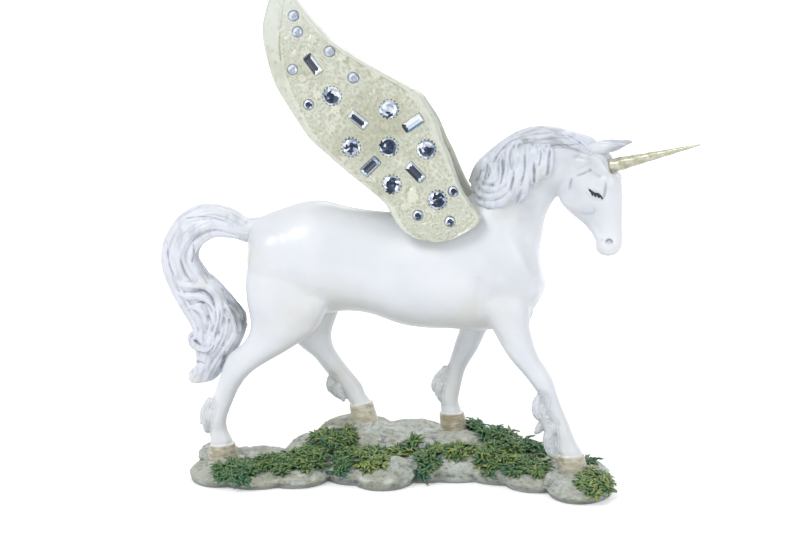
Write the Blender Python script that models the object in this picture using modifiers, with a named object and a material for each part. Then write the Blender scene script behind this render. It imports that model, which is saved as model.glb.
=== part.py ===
"""Winged unicorn figurine in cast resin, walking on a rocky base.

Frame: +Z up, the nose towards +X and the animal's right side towards -Y.
The origin is on the flat underside of the base, below the middle plane of the body.
Sizes and places are in millimetres, and MM turns them into metres.
"""
import bmesh
import bpy
import numpy as np
from math import cos, pi, radians, sin
from mathutils import Matrix, Vector
from mathutils.bvhtree import BVHTree

MM = 0.001

# Fits
GLUE_GAP = 0.25
WING_SEAT_GAP = 0.3

# Legs: the hooves stand this far out from the middle plane
LEG_OUT = 11.0
HOOF_FLARE = 0.6

# Head
HEAD_TURN = 14.0
POLL_X = 62.0

# Horn
HORN_LENGTH = 33.0
HORN_ROOT_RADIUS = 2.8
HORN_TIP_RADIUS = 0.35
HORN_RISE = 16.4
HORN_TURNS = 3.0
HORN_FLUTE = 0.14
HORN_SOCKET_DEPTH = 1.6
HORN_SEAT = (75.6, -3.3, 114.3)

# Wings: the tables give them 91.8 high above the foot, and WING_LENGTH stretches them
WING_LENGTH = 91.8
WING_DRAWN = 91.8
WING_FOOT = 88.4
WING_THICKNESS = 3.6
WING_LEAST = 1.2
WING_RIM_STEP = 0.8
WING_RIM_RISE = 0.8
WING_FACE_OUT = 17.2
WING_LEAN = 0.12
WING_TOE = 0.06
WING_CAMBER = 1.2
WING_PAD_DEPTH = 5.0
WING_PAD = (15.0, 93.5)
WING_PAD_HALVES = (13.0, 6.5)
LEFT_WING_SWEEP = 1.8
LEFT_WING_DROP = 2.6

# Gems
ROUND_GEM = 6.6
SMALL_GEM = 3.6
BAGUETTE_LENGTH = 7.4
BAGUETTE_WIDTH = 3.3
POCKET_DEPTH = 1.5
GIRDLE_RISE = 0.35

# Shapes of the stones, as shares of their width: crown, back, kites, table, cut corner
CROWN_SHARE = 0.2
STEP_CROWN_SHARE = 0.3
BACK_SHARE = 0.92
KITE_SHARE = 0.8
TABLE_SHARE = 0.55
CORNER_SHARE = 0.12
GIRDLE_THICKNESS = 0.2

# The tail: the tables give it 31.6 behind its root, and TAIL_REACH stretches it
TAIL_REACH = 31.6
TAIL_DRAWN = 31.6
TAIL_ROOT_X = -55.0
TAIL_MIDDLE = -1.5
TAIL_LOCKS_OUT = 1.2

# Locks of the mane: the radius of one, and how much shorter the left side's are
MANE_LOCK = 1.75
FAR_MANE_SHARE = 0.85

# Mesh finish of the casting
CASTING_VOXEL = 1.05
CASTING_KEPT = 0.066

# The body and neck, from tail to poll. Each row is a cut: its top point x, z,
# its bottom point x, z, its half width, and how much wider it is low down.
TORSO = [
    (-54.8, 83.0, -55.2, 77.0, 2.5, 0.0),
    (-53.5, 90.3, -54.8, 69.0, 9.0, 0.0),
    (-49.0, 93.2, -52.0, 62.0, 13.2, 0.0),
    (-42.0, 95.9, -44.0, 58.0, 15.8, -0.05),
    (-35.0, 98.2, -36.0, 56.5, 17.2, -0.05),
    (-28.0, 98.8, -28.5, 57.0, 17.4, 0.0),
    (-20.0, 97.0, -20.0, 58.8, 16.8, 0.05),
    (-10.0, 95.6, -10.5, 58.2, 16.4, 0.12),
    (0.0, 95.2, 0.0, 54.8, 17.0, 0.15),
    (8.0, 95.6, 9.0, 53.5, 17.4, 0.15),
    (15.0, 97.0, 19.0, 53.4, 17.2, 0.12),
    (20.0, 98.8, 30.0, 53.0, 16.6, 0.12),
    (24.0, 101.0, 40.0, 55.0, 16.2, 0.14),
    (26.0, 103.0, 47.5, 60.0, 15.6, 0.16),
    (27.5, 105.5, 52.6, 69.5, 13.8, 0.18),
    (29.3, 108.3, 51.3, 76.5, 11.6, 0.12),
    (31.8, 111.5, 50.5, 82.5, 10.0, 0.05),
    (35.5, 115.4, 51.3, 88.5, 8.9, 0.0),
    (41.0, 119.9, 52.4, 95.2, 8.0, 0.0),
    (47.7, 123.0, 55.4, 101.3, 7.3, 0.0),
    (55.5, 124.2, 58.8, 105.5, 6.7, 0.0),
    (63.0, 122.8, 63.5, 107.5, 6.0, 0.0),
    (68.0, 119.0, 66.0, 111.0, 4.0, 0.0),
]

# The head, from poll to lips, cut from the face line to the jaw line.
HEAD = [
    (66.0, 120.6, 60.5, 115.6, 4.2, 0.0),
    (71.4, 120.2, 59.5, 111.6, 6.0, 0.0),
    (74.8, 117.4, 57.6, 106.8, 6.5, 0.0),
    (77.6, 112.7, 57.2, 101.8, 6.6, -0.08),
    (79.7, 108.3, 59.2, 97.8, 6.5, -0.12),
    (80.2, 103.4, 62.6, 95.2, 5.7, -0.1),
    (80.2, 98.2, 65.7, 93.0, 4.7, 0.0),
    (80.2, 92.8, 68.4, 90.2, 4.1, 0.0),
    (80.4, 88.6, 70.4, 87.2, 4.2, 0.05),
    (80.3, 85.5, 70.5, 84.4, 4.1, 0.0),
    (78.6, 82.8, 72.2, 82.4, 3.1, 0.0),
    (76.0, 81.7, 74.4, 81.7, 1.0, 0.0),
]

# The legs, from hip or shoulder to coronet: rear point x, z, front point x, z,
# half width, and how far out the leg is as a share of LEG_OUT.
NEAR_HIND = [
    (-51.0, 85.0, -35.0, 87.0, 5.5, 0.5),
    (-54.7, 74.0, -28.0, 75.0, 7.6, 0.74),
    (-54.5, 64.0, -25.5, 62.5, 8.0, 0.84),
    (-53.0, 55.5, -28.8, 54.0, 6.8, 0.9),
    (-54.2, 50.3, -34.6, 49.0, 5.6, 0.93),
    (-57.2, 46.8, -40.6, 45.0, 4.9, 0.96),
    (-61.3, 43.3, -46.6, 41.4, 4.4, 0.98),
    (-63.2, 38.8, -51.5, 38.2, 4.3, 1.0),
    (-64.5, 34.9, -54.9, 34.8, 4.1, 1.0),
    (-66.0, 31.0, -57.5, 30.8, 3.6, 1.0),
    (-67.3, 27.0, -59.3, 26.8, 3.3, 1.0),
    (-68.6, 22.9, -60.9, 22.8, 3.3, 1.0),
    (-69.5, 19.2, -62.1, 19.2, 3.8, 1.0),
    (-68.6, 15.4, -61.8, 15.6, 3.4, 1.0),
    (-68.3, 11.6, -60.3, 12.4, 4.2, 1.0),
    (-68.4, 9.4, -59.6, 10.4, 4.5, 1.0),
]
FAR_HIND = [
    (-49.0, 84.0, -33.0, 85.0, 5.5, 0.5),
    (-53.0, 72.0, -25.0, 71.0, 7.6, 0.74),
    (-50.5, 60.5, -22.6, 60.5, 7.5, 0.84),
    (-46.0, 51.5, -25.0, 52.8, 6.2, 0.9),
    (-42.0, 46.3, -26.6, 47.2, 5.2, 0.94),
    (-37.8, 41.8, -25.7, 42.0, 4.6, 0.97),
    (-33.6, 38.7, -23.0, 37.6, 4.4, 0.99),
    (-31.0, 35.4, -20.4, 34.2, 4.2, 1.0),
    (-28.0, 31.6, -18.2, 31.6, 3.7, 1.0),
    (-25.2, 28.4, -16.2, 29.2, 3.4, 1.0),
    (-22.8, 25.6, -14.8, 26.8, 3.5, 1.0),
    (-21.2, 23.0, -14.2, 24.6, 3.8, 1.0),
    (-20.2, 21.4, -12.8, 23.0, 3.8, 1.0),
    (-19.9, 20.2, -11.8, 22.0, 4.4, 1.0),
]
NEAR_FORE = [
    (23.0, 79.0, 43.0, 76.0, 6.0, 0.64),
    (27.0, 67.0, 47.4, 65.0, 7.2, 0.8),
    (33.0, 57.5, 47.6, 58.0, 6.3, 0.88),
    (37.0, 50.8, 49.2, 51.0, 5.3, 0.93),
    (41.0, 44.8, 51.4, 45.4, 4.7, 0.97),
    (44.7, 40.8, 54.1, 41.6, 4.5, 0.99),
    (48.0, 36.8, 56.3, 37.7, 4.4, 1.0),
    (50.3, 33.6, 57.5, 34.0, 3.9, 1.0),
    (52.0, 30.0, 58.8, 30.0, 3.3, 1.0),
    (53.6, 26.2, 60.4, 26.0, 3.2, 1.0),
    (55.5, 22.1, 62.2, 21.8, 3.3, 1.0),
    (56.9, 18.7, 63.6, 17.9, 3.8, 1.0),
    (57.6, 15.6, 64.9, 15.1, 3.5, 1.0),
    (57.8, 12.3, 66.5, 12.4, 4.2, 1.0),
    (57.9, 10.2, 67.4, 10.6, 4.5, 1.0),
]
FAR_FORE = [
    (20.0, 74.0, 38.0, 72.0, 6.0, 0.64),
    (19.5, 61.0, 36.0, 59.0, 6.2, 0.82),
    (20.6, 51.5, 31.0, 51.0, 5.0, 0.92),
    (19.3, 46.8, 29.0, 46.6, 4.6, 0.96),
    (18.1, 42.7, 27.1, 42.5, 4.5, 0.98),
    (17.0, 39.0, 24.8, 38.8, 4.1, 1.0),
    (15.6, 35.2, 22.8, 34.9, 3.5, 1.0),
    (14.6, 31.0, 21.8, 31.0, 3.2, 1.0),
    (13.9, 27.2, 21.0, 27.1, 3.2, 1.0),
    (13.3, 24.0, 20.3, 23.7, 3.7, 1.0),
    (13.7, 21.2, 20.9, 20.9, 3.4, 1.0),
    (13.5, 18.6, 21.9, 18.8, 4.4, 1.0),
]

# The hooves: coronet rear x, z, front x, z, then sole rear x, z, front x, z.
HOOVES = {
    "near_hind": (-68.5, 9.6, -59.3, 10.6, -69.4, 3.6, -57.8, 3.6),
    "far_hind": (-20.1, 20.4, -11.7, 22.1, -19.0, 14.0, -8.8, 12.0),
    "near_fore": (57.8, 10.4, 67.6, 10.7, 58.8, 3.4, 69.6, 3.2),
    "far_fore": (13.4, 18.7, 22.1, 18.9, 14.0, 11.6, 23.8, 11.8),
}
HOOF_HALF_WIDTH = 4.6

# The tail: outer point x, z, inner point x, z, half width, middle y.
TAIL = [
    (-50.0, 92.6, -51.0, 82.6, 4.4, 0.0),
    (-55.8, 92.4, -56.4, 83.0, 4.6, 0.0),
    (-62.0, 95.4, -62.8, 85.4, 5.0, 0.0),
    (-71.0, 96.4, -69.6, 85.6, 5.4, 0.0),
    (-78.8, 93.0, -73.6, 83.4, 5.8, 0.0),
    (-84.2, 86.2, -75.0, 79.8, 6.0, -0.3),
    (-86.6, 77.0, -74.8, 76.2, 6.2, -0.6),
    (-85.0, 69.8, -72.4, 72.8, 6.4, -1.0),
    (-81.8, 62.6, -67.8, 67.8, 6.6, -1.5),
    (-77.8, 57.2, -63.0, 63.6, 6.8, -2.0),
    (-74.8, 52.6, -58.9, 58.8, 6.8, -2.5),
    (-73.4, 48.0, -56.2, 52.6, 6.6, -3.0),
    (-74.4, 43.6, -59.4, 44.6, 6.0, -3.2),
    (-74.4, 39.0, -63.2, 39.4, 5.0, -3.3),
    (-76.2, 34.2, -65.8, 34.8, 4.2, -3.4),
    (-77.2, 31.4, -68.6, 32.0, 3.0, -3.6),
    (-74.8, 30.6, -72.6, 31.0, 1.0, -3.6),
]

# Locks of the tail, each a path of x, z points with its radius and its y.
TAIL_LOCKS = [
    [(-56.0, 90.2, 1.8, -3.6), (-66.0, 94.2, 2.2, -4.4), (-76.2, 91.8, 2.4, -4.8), (-82.8, 84.4, 2.4, -5.0),
     (-84.6, 76.4, 2.3, -5.2), (-82.6, 68.6, 2.2, -5.6), (-78.8, 61.4, 2.2, -6.2), (-74.8, 54.8, 2.0, -6.6),
     (-73.6, 49.2, 1.5, -6.6), (-76.9, 45.2, 0.6, -5.6)],
    [(-56.0, 87.0, 2.0, -4.0), (-67.0, 90.0, 2.6, -5.0), (-75.6, 86.4, 2.8, -5.8), (-79.6, 79.4, 2.8, -6.2),
     (-79.0, 71.6, 2.8, -6.8), (-74.6, 64.6, 2.8, -7.4), (-69.0, 58.4, 2.6, -8.0), (-66.2, 52.0, 2.4, -8.2),
     (-68.2, 45.6, 2.0, -7.6), (-72.6, 41.4, 0.9, -6.2)],
    [(-58.0, 85.8, 1.6, -4.0), (-67.0, 87.0, 1.9, -5.0), (-73.8, 82.6, 2.0, -5.8), (-75.8, 76.4, 2.0, -6.2),
     (-72.4, 70.4, 2.2, -6.8), (-66.4, 64.6, 2.3, -7.2), (-60.8, 58.4, 2.4, -7.4), (-58.8, 51.8, 2.4, -7.4),
     (-62.8, 45.2, 2.2, -7.2), (-67.4, 40.0, 2.0, -6.8), (-71.4, 35.4, 1.6, -6.0), (-76.8, 32.2, 0.7, -4.8)],
    [(-70.0, 58.0, 1.6, -7.4), (-70.8, 51.0, 2.1, -7.4), (-71.6, 45.0, 2.1, -6.8), (-71.6, 39.4, 1.9, -6.0),
     (-74.8, 34.2, 1.3, -5.0), (-77.4, 32.0, 0.6, -4.4)],
    [(-63.6, 52.4, 1.4, -8.2), (-66.8, 48.8, 1.9, -8.8), (-70.4, 46.2, 2.1, -8.2), (-73.8, 45.0, 1.7, -6.6),
     (-76.2, 45.6, 1.0, -5.2), (-76.4, 47.0, 0.5, -4.8)],
    [(-65.6, 42.6, 1.2, -7.4), (-67.8, 38.4, 1.8, -7.4), (-71.0, 35.0, 2.0, -6.6), (-74.8, 33.4, 1.7, -5.6),
     (-77.2, 34.6, 0.9, -5.0)],
]

# Locks of the mane that fall from the crest, from front to back: paths of x, z that lie on the neck.
MANE_FALL = [
    [(53.4, 121.0), (53.8, 118.5), (53.6, 116.0), (53.4, 113.6), (52.9, 111.4), (51.8, 109.8)],
    [(50.6, 121.2), (51.4, 118.6), (51.4, 116.2), (51.0, 113.6), (50.2, 111.2), (49.2, 109.6)],
    [(48.2, 121.4), (49.0, 118.6), (49.2, 115.6), (48.6, 112.6), (48.0, 110.0), (47.4, 108.0)],
    [(46.0, 121.8), (46.6, 118.4), (46.8, 114.6), (46.0, 110.8), (45.0, 107.4), (43.6, 104.8)],
    [(44.2, 122.2), (44.6, 118.0), (44.6, 113.6), (43.6, 109.4), (42.2, 105.4), (40.6, 102.8)],
    [(42.8, 122.8), (42.4, 118.0), (42.6, 113.2), (41.4, 108.2), (39.6, 104.0), (36.4, 101.2)],
    [(41.2, 122.6), (39.8, 117.6), (40.4, 112.6), (39.0, 107.4), (36.4, 103.2), (32.4, 100.2)],
    [(39.6, 121.4), (37.2, 116.6), (37.8, 112.0), (36.2, 107.2), (33.2, 103.4), (29.6, 100.8)],
    [(37.4, 120.4), (34.6, 115.8), (34.6, 111.4), (32.8, 107.0), (30.2, 104.0), (27.6, 102.0)],
    [(35.0, 118.8), (32.0, 114.6), (31.4, 110.6), (29.8, 107.0), (28.2, 105.0), (26.6, 103.6)],
    [(32.6, 116.8), (29.8, 113.0), (28.8, 109.8), (27.8, 107.2), (27.0, 105.6), (26.0, 104.6)],
]
# Locks that run back along the crest, from low to high.
MANE_BAND = [
    [(69.0, 118.6), (64.0, 120.6), (58.6, 121.8), (53.0, 122.0), (48.0, 122.2), (44.2, 122.6)],
    [(69.6, 120.0), (64.4, 122.0), (59.0, 123.2), (53.0, 123.6), (47.6, 123.6), (42.6, 122.4)],
    [(69.8, 121.2), (65.0, 122.8), (59.4, 124.2), (53.0, 124.8), (46.8, 124.4), (41.0, 122.6)],
]

# Tufts behind the fetlocks: x, z, radius, and how far out from the leg's middle.
TUFTS = {
    "near_hind": [
        [(-67.6, 27.0, 1.6, 0.0), (-69.8, 22.6, 1.9, 0.0), (-70.9, 18.8, 1.2, 0.0), (-71.9, 17.2, 0.5, 0.0)],
        [(-66.6, 25.0, 1.6, 0.0), (-68.4, 20.6, 2.0, 0.0), (-68.8, 16.4, 1.4, 0.0), (-69.6, 13.8, 0.6, 0.0)],
        [(-67.4, 23.0, 1.6, 1.6), (-69.2, 18.4, 1.6, 1.8), (-69.4, 14.4, 0.7, 1.6)],
        [(-67.4, 23.0, 1.6, -1.6), (-69.2, 18.4, 1.6, -1.8), (-69.4, 14.4, 0.7, -1.6)],
    ],
    "far_hind": [
        [(-26.2, 31.6, 1.6, 0.0), (-27.2, 28.6, 1.9, 0.0), (-26.8, 25.6, 1.4, 0.0), (-24.2, 22.8, 0.6, 0.0)],
        [(-24.4, 28.6, 1.6, 1.6), (-24.0, 25.2, 1.5, 1.8), (-21.6, 21.8, 0.7, 1.6)],
        [(-24.4, 28.6, 1.6, -1.6), (-24.0, 25.2, 1.5, -1.8), (-21.6, 21.8, 0.7, -1.6)],
        [(-26.0, 30.4, 1.4, 0.0), (-25.0, 27.0, 1.8, 0.0), (-22.6, 23.4, 1.2, 0.0)],
    ],
    "near_fore": [
        [(52.6, 33.0, 1.6, 0.0), (50.8, 28.8, 2.0, 0.0), (50.8, 25.4, 1.8, 0.0), (52.6, 22.2, 0.9, 0.0)],
        [(54.0, 31.6, 1.5, 0.0), (53.0, 27.0, 2.2, 0.0), (54.0, 22.6, 2.2, 0.0), (54.4, 18.6, 1.4, 0.0)],
        [(56.8, 21.6, 1.6, 0.0), (57.0, 17.0, 2.2, 0.0), (57.2, 13.0, 2.0, 0.0), (58.4, 10.0, 1.2, 0.0)],
        [(55.2, 25.2, 1.7, 1.4), (52.6, 21.0, 2.0, 1.6), (50.6, 18.2, 1.2, 1.4), (49.6, 17.4, 0.5, 1.2)],
        [(57.2, 22.4, 1.8, -1.2), (55.4, 18.4, 2.1, -1.4), (55.0, 14.6, 2.0, -1.2), (56.2, 11.0, 1.7, -1.0),
         (58.6, 8.6, 0.9, -0.8)],
    ],
    "far_fore": [
        [(16.0, 36.0, 1.5, 0.0), (12.9, 31.4, 1.9, 0.0), (11.5, 28.4, 1.5, 0.0), (12.3, 25.2, 0.7, 0.0)],
        [(15.6, 34.0, 1.4, 0.0), (14.0, 29.6, 1.9, 0.0), (13.4, 25.6, 1.5, 0.0), (13.8, 22.6, 0.8, 0.0)],
        [(14.9, 30.8, 1.5, 1.5), (13.2, 27.0, 1.5, 1.7), (13.4, 23.4, 0.7, 1.5)],
        [(14.9, 30.8, 1.5, -1.5), (13.2, 27.0, 1.5, -1.7), (13.4, 23.4, 0.7, -1.5)],
    ],
}

# Stifle, haunch, shoulder, forearm and chest: middle x, y, z, half sizes, tilt about Y in degrees.
MUSCLES = [
    (-31.5, 10.5, 62.0, 6.0, 5.6, 9.0, 24.0),
    (-43.0, 9.0, 79.0, 11.0, 7.6, 12.0, 20.0),
    (37.0, 8.6, 79.0, 8.0, 6.0, 14.0, -28.0),
    (41.5, 9.8, 60.5, 6.4, 6.0, 8.6, -8.0),
    (47.0, 5.6, 69.8, 4.4, 6.0, 5.6, 0.0),
]

# An ear from its root to its tip: x, y, z, radius, before the head turns.
EAR = [(66.4, 2.2, 119.4, 1.5), (70.2, 2.9, 120.4, 2.0), (74.0, 3.6, 121.1, 2.1), (77.4, 3.8, 121.4, 1.7),
       (80.2, 3.9, 122.2, 1.1), (82.4, 3.9, 122.8, 0.4)]
# The brow ridge, the cheek and the nostril's wing: middle and half sizes, before the head turns.
FACE_LUMPS = [((75.8, 4.0, 108.8), (3.2, 2.2, 3.4)), ((63.2, 3.8, 103.8), (5.6, 2.8, 6.0)),
              ((77.6, 2.6, 87.4), (2.0, 1.6, 2.2))]
CHIN = ((72.6, 0.0, 84.6), (2.4, 2.6, 2.2))
# A lock that falls over the forehead: x, how far to the side, z, radius; then each one's side and low end.
FORELOCK = [(66.0, 1.5, 119.8, 1.7), (71.4, 2.4, 118.9, 2.0), (75.0, 3.2, 116.6, 1.5)]
FORELOCK_TIP = (76.4, 3.2, 0.7)
FORELOCKS = [(-1, 112.4), (0, 116.4), (1, 112.4)]
# The crest of the mane: x, z, radius.
CREST = [(26.8, 106.0, 2.6), (29.6, 111.6, 3.2), (34.0, 116.0, 3.2), (38.8, 119.8, 3.3), (43.6, 122.7, 3.3),
         (48.0, 124.1, 3.3), (53.0, 124.3, 3.3), (57.6, 123.6, 3.2), (61.8, 121.3, 2.9), (66.2, 118.7, 2.4),
         (70.0, 117.2, 1.7)]

# Rocks of the base: middle x, y, half sizes in x and y, and height.
ROCKS = [
    (-62.5, -17.0, 12.2, 17.0, 5.4), (-50.0, -20.0, 15.0, 15.0, 5.2), (-66.6, -4.0, 7.6, 10.0, 8.4),
    (-52.0, 3.0, 13.0, 9.5, 4.6), (-36.0, -17.0, 13.5, 15.0, 6.6), (-31.0, 6.0, 12.0, 17.0, 8.8),
    (-17.0, 12.5, 16.4, 17.5, 15.6), (-15.0, -13.0, 11.0, 12.0, 8.6), (-4.0, -16.0, 12.0, 14.8, 8.2),
    (-7.0, -1.0, 12.0, 10.0, 9.0), (3.0, 12.5, 17.0, 17.0, 14.0), (20.0, 12.0, 17.0, 15.0, 13.8),
    (20.0, -6.0, 15.0, 11.6, 10.2), (10.0, -10.0, 10.0, 9.0, 8.6),
    (38.0, 6.0, 14.0, 15.0, 9.4), (38.0, -7.0, 14.0, 11.6, 7.6), (51.0, -12.0, 13.0, 14.6, 5.8),
    (53.0, 7.0, 13.0, 12.0, 6.6), (66.8, -20.4, 12.4, 17.8, 5.4), (64.0, -3.0, 13.0, 12.0, 5.0),
]
ROCK_SUNK = 0.45
ROCK_FOOT = (0.93, 0.93, 1.3)

# Clumps of grass: middle x, y, z, half sizes.
CLUMPS = [
    (-54.0, -24.0, 3.0, 8.0, 5.0, 3.2), (-43.0, -20.0, 4.6, 9.0, 6.0, 3.4), (-30.0, -14.0, 6.4, 9.0, 6.0, 4.0),
    (-25.0, -3.0, 10.4, 8.0, 5.0, 3.4), (-14.0, -16.0, 7.0, 9.0, 6.0, 3.6), (0.0, -16.0, 6.4, 7.0, 4.6, 3.4),
    (26.0, -9.0, 8.2, 9.0, 5.0, 3.4), (34.0, 12.0, 10.0, 8.0, 6.0, 3.2), (38.0, -1.0, 8.4, 9.0, 6.0, 3.2),
    (40.0, -12.0, 5.6, 9.0, 6.0, 3.6), (47.0, 8.0, 7.4, 7.0, 6.0, 3.0), (52.0, -19.0, 4.2, 8.0, 6.0, 3.2),
    (72.0, -12.0, 4.0, 5.0, 7.0, 3.0),
]

# The wing outline by height: z, trailing edge x, leading edge x, and the two rims' widths.
WING = [
    (88.4, 12.5, 17.0, 0.6, 0.6), (89.4, 7.8, 21.0, 1.2, 1.0), (91.2, 4.0, 25.0, 1.5, 1.3),
    (94.2, 1.0, 29.2, 1.6, 1.4), (97.4, -0.9, 30.4, 1.6, 1.4), (101.6, -3.6, 27.2, 1.7, 1.4),
    (106.2, -9.0, 23.9, 1.8, 1.4), (112.8, -17.6, 21.1, 1.9, 1.5), (118.6, -24.5, 19.0, 2.1, 2.0),
    (123.6, -30.2, 16.7, 2.4, 2.6), (130.0, -34.9, 14.4, 2.9, 3.1), (135.4, -38.5, 11.3, 3.6, 3.3),
    (140.6, -41.9, 7.4, 4.4, 3.3), (146.2, -44.4, -2.6, 5.0, 3.0), (152.3, -46.3, -14.0, 5.4, 2.6),
    (158.0, -47.6, -22.9, 5.5, 2.3), (162.4, -47.8, -27.5, 5.2, 2.0), (167.3, -46.9, -32.0, 4.2, 1.7),
    (171.6, -45.8, -35.6, 3.2, 1.4), (176.0, -44.7, -39.1, 1.8, 1.0), (180.2, -43.0, -42.0, 0.4, 0.4),
]

# The gems of one wing: x, z, and for a baguette the tilt of its long side in degrees.
ROUND_GEMS = [(-22.2, 138.8), (-2.2, 134.4), (-15.3, 121.1), (-2.0, 121.4), (11.1, 120.6), (-0.8, 108.4),
              (15.3, 103.2)]
SMALL_GEMS = [(-36.5, 166.2), (-35.0, 160.7), (-23.6, 154.0), (-36.4, 147.7), (-15.0, 145.1), (-30.5, 135.7),
              (20.7, 106.1), (8.6, 97.8), (19.8, 95.8)]
BAGUETTES = [(-29.1, 149.5, -52.0), (-12.9, 130.7, -38.0), (6.2, 129.7, 35.0), (-8.4, 114.5, 45.0),
             (7.4, 112.7, -45.0)]

RESIN = ("white_resin", (0.86, 0.85, 0.84), 0.25, 0.0)
HORN_GOLD = ("horn_gold", (0.66, 0.60, 0.45), 0.35, 0.4)
WING_PEARL = ("wing_pearl", (0.76, 0.74, 0.62), 0.3, 0.2)
GEM_GLASS = ("gem_glass", (0.55, 0.62, 0.72), 0.05, 0.0)


def material(finish):
    """A plain material of one colour, shared by every part with that finish."""
    name, colour, roughness, metallic = finish
    found = bpy.data.materials.get(name)
    if found:
        return found
    made = bpy.data.materials.new(name)
    made.use_nodes = True
    shader = made.node_tree.nodes["Principled BSDF"]
    shader.inputs["Base Color"].default_value = (*colour, 1.0)
    shader.inputs["Roughness"].default_value = roughness
    shader.inputs["Metallic"].default_value = metallic
    return made


def smooth_rows(rows, steps):
    """Rows read from a smooth curve through the given rows."""
    rows = [np.array(row, dtype=float) for row in rows]
    ends = [2 * rows[0] - rows[1]] + rows + [2 * rows[-1] - rows[-2]]
    out = []
    for a, b, c, d in zip(ends, ends[1:], ends[2:], ends[3:]):
        for i in range(steps):
            t = i / steps
            out.append(0.5 * (2 * b + (c - a) * t + (2 * a - 5 * b + 4 * c - d) * t * t
                              + (3 * b - a - 3 * c + d) * t ** 3))
    out.append(rows[-1])
    return out


def skin(form, rings):
    """Adds to a bmesh the closed skin over rings of points, in millimetres."""
    made = [[form.verts.new(Vector(p) * MM) for p in ring] for ring in rings]
    count = len(rings[0])
    faces = []
    for low, high in zip(made, made[1:]):
        for i in range(count):
            j = (i + 1) % count
            faces.append(form.faces.new((low[i], low[j], high[j], high[i])))
    faces.append(form.faces.new(made[0][::-1]))
    faces.append(form.faces.new(made[-1]))
    bmesh.ops.recalc_face_normals(form, faces=faces)


def cut_form(form, rows, middle, steps=3, sides=24, turn=None):
    """Skins a form from cuts: top x, z, bottom x, z, half width, low fullness."""
    rings = []
    for row in smooth_rows(rows, steps):
        top, bottom, half, full = row[0:2], row[2:4], row[4], row[5]
        y = middle(row)
        ring = []
        for i in range(sides):
            angle = 2 * pi * i / sides
            up, out = cos(angle), sin(angle)
            x, z = (top + bottom) / 2 + up * (top - bottom) / 2
            point = Vector((x, y + out * half * (1 - full * up), z))
            ring.append(turn @ point if turn else point)
        rings.append(ring)
    skin(form, rings)


def lump(form, middle, halves, tilt=0.0, detail=3):
    """Adds an ellipsoid, tilted about Y."""
    place = (Matrix.Translation(Vector(middle) * MM) @ Matrix.Rotation(radians(tilt), 4, "Y")
             @ Matrix.Diagonal((*(h * MM for h in halves), 1.0)))
    bmesh.ops.create_icosphere(form, subdivisions=detail, radius=1.0, matrix=place)


def lock(form, points, flat=1.0, sides=10, steps=4):
    """Adds a tapering lock of hair along points x, y, z, radius."""
    path = smooth_rows(points, steps)
    rings = []
    for i, row in enumerate(path):
        before, after = path[max(i - 1, 0)], path[min(i + 1, len(path) - 1)]
        along = Vector(after[:3] - before[:3]).normalized()
        across = along.cross(Vector((0.0, 1.0, 0.0))).normalized()
        out = across.cross(along)
        radius = max(float(row[3]), 0.3)
        rings.append([Vector(row[:3]) + radius * (cos(2 * pi * k / sides) * across
                                                  + flat * sin(2 * pi * k / sides) * out)
                      for k in range(sides)])
    skin(form, rings)


def surface_out(tree, x, z, side):
    """How far out the surface lies at x, z on one side, or None where there is none."""
    far = 60.0
    hit = tree.ray_cast(Vector((x, side * far, z)) * MM, Vector((0.0, -side, 0.0)), far * MM)[0]
    return abs(hit.y) / MM if hit else None


def head_turn():
    """The head turns about the poll, nose towards the right side."""
    pivot = Matrix.Translation((POLL_X, 0.0, 0.0))
    return pivot @ Matrix.Rotation(radians(-HEAD_TURN), 4, "Z") @ pivot.inverted()


def add_body(form):
    """The trunk, the neck and the head."""
    cut_form(form, TORSO, lambda row: 0.0, sides=28)
    cut_form(form, HEAD, lambda row: 0.0, turn=head_turn())
    for x, y, z, rx, ry, rz, tilt in MUSCLES:
        for side in (-1, 1):
            lump(form, (x, side * y, z), (rx, ry, rz), tilt)


def add_face(form):
    """The ears, the brow ridges, the cheeks, the nostrils and the chin."""
    turn = head_turn()
    for side in (-1, 1):
        ear = [(*(turn @ Vector((x, side * y, z))), radius) for x, y, z, radius in EAR]
        lock(form, ear, flat=0.8)
        for (x, y, z), halves in FACE_LUMPS:
            lump(form, turn @ Vector((x, side * y, z)), halves)
    lump(form, turn @ Vector(CHIN[0]), CHIN[1])


def add_leg(form, name, rows, side):
    """One leg with its hoof and the tuft behind its fetlock."""
    rings = []
    sides = 18
    for row in smooth_rows(rows, 3):
        y = side * LEG_OUT * row[5]
        middle, half = (row[0:2] + row[2:4]) / 2, (row[2:4] - row[0:2]) / 2
        ring = []
        for i in range(sides):
            angle = 2 * pi * i / sides
            x, z = middle + cos(angle) * half
            ring.append(Vector((x, y + sin(angle) * row[4], z)))
        rings.append(ring)
    skin(form, rings)
    rear_x, rear_z, front_x, front_z, heel_x, heel_z, toe_x, toe_z = HOOVES[name]
    rings = []
    for x0, z0, x1, z1, half in ((rear_x, rear_z, front_x, front_z, HOOF_HALF_WIDTH),
                                 (heel_x, heel_z, toe_x, toe_z, HOOF_HALF_WIDTH + HOOF_FLARE)):
        ring = []
        for i in range(sides):
            angle = 2 * pi * i / sides
            share_along = (1 + cos(angle)) / 2
            ring.append(Vector((x0 + share_along * (x1 - x0), side * LEG_OUT + sin(angle) * half,
                                z0 + share_along * (z1 - z0))))
        rings.append(ring)
    skin(form, rings)
    for tuft in TUFTS[name]:
        lock(form, [(x, side * LEG_OUT + out, z, radius) for x, z, radius, out in tuft], sides=8)


def tail_x(x):
    """An x of the tail's tables, stretched behind the root to the tail's reach."""
    return x if x > TAIL_ROOT_X else TAIL_ROOT_X + (x - TAIL_ROOT_X) * TAIL_REACH / TAIL_DRAWN


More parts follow.
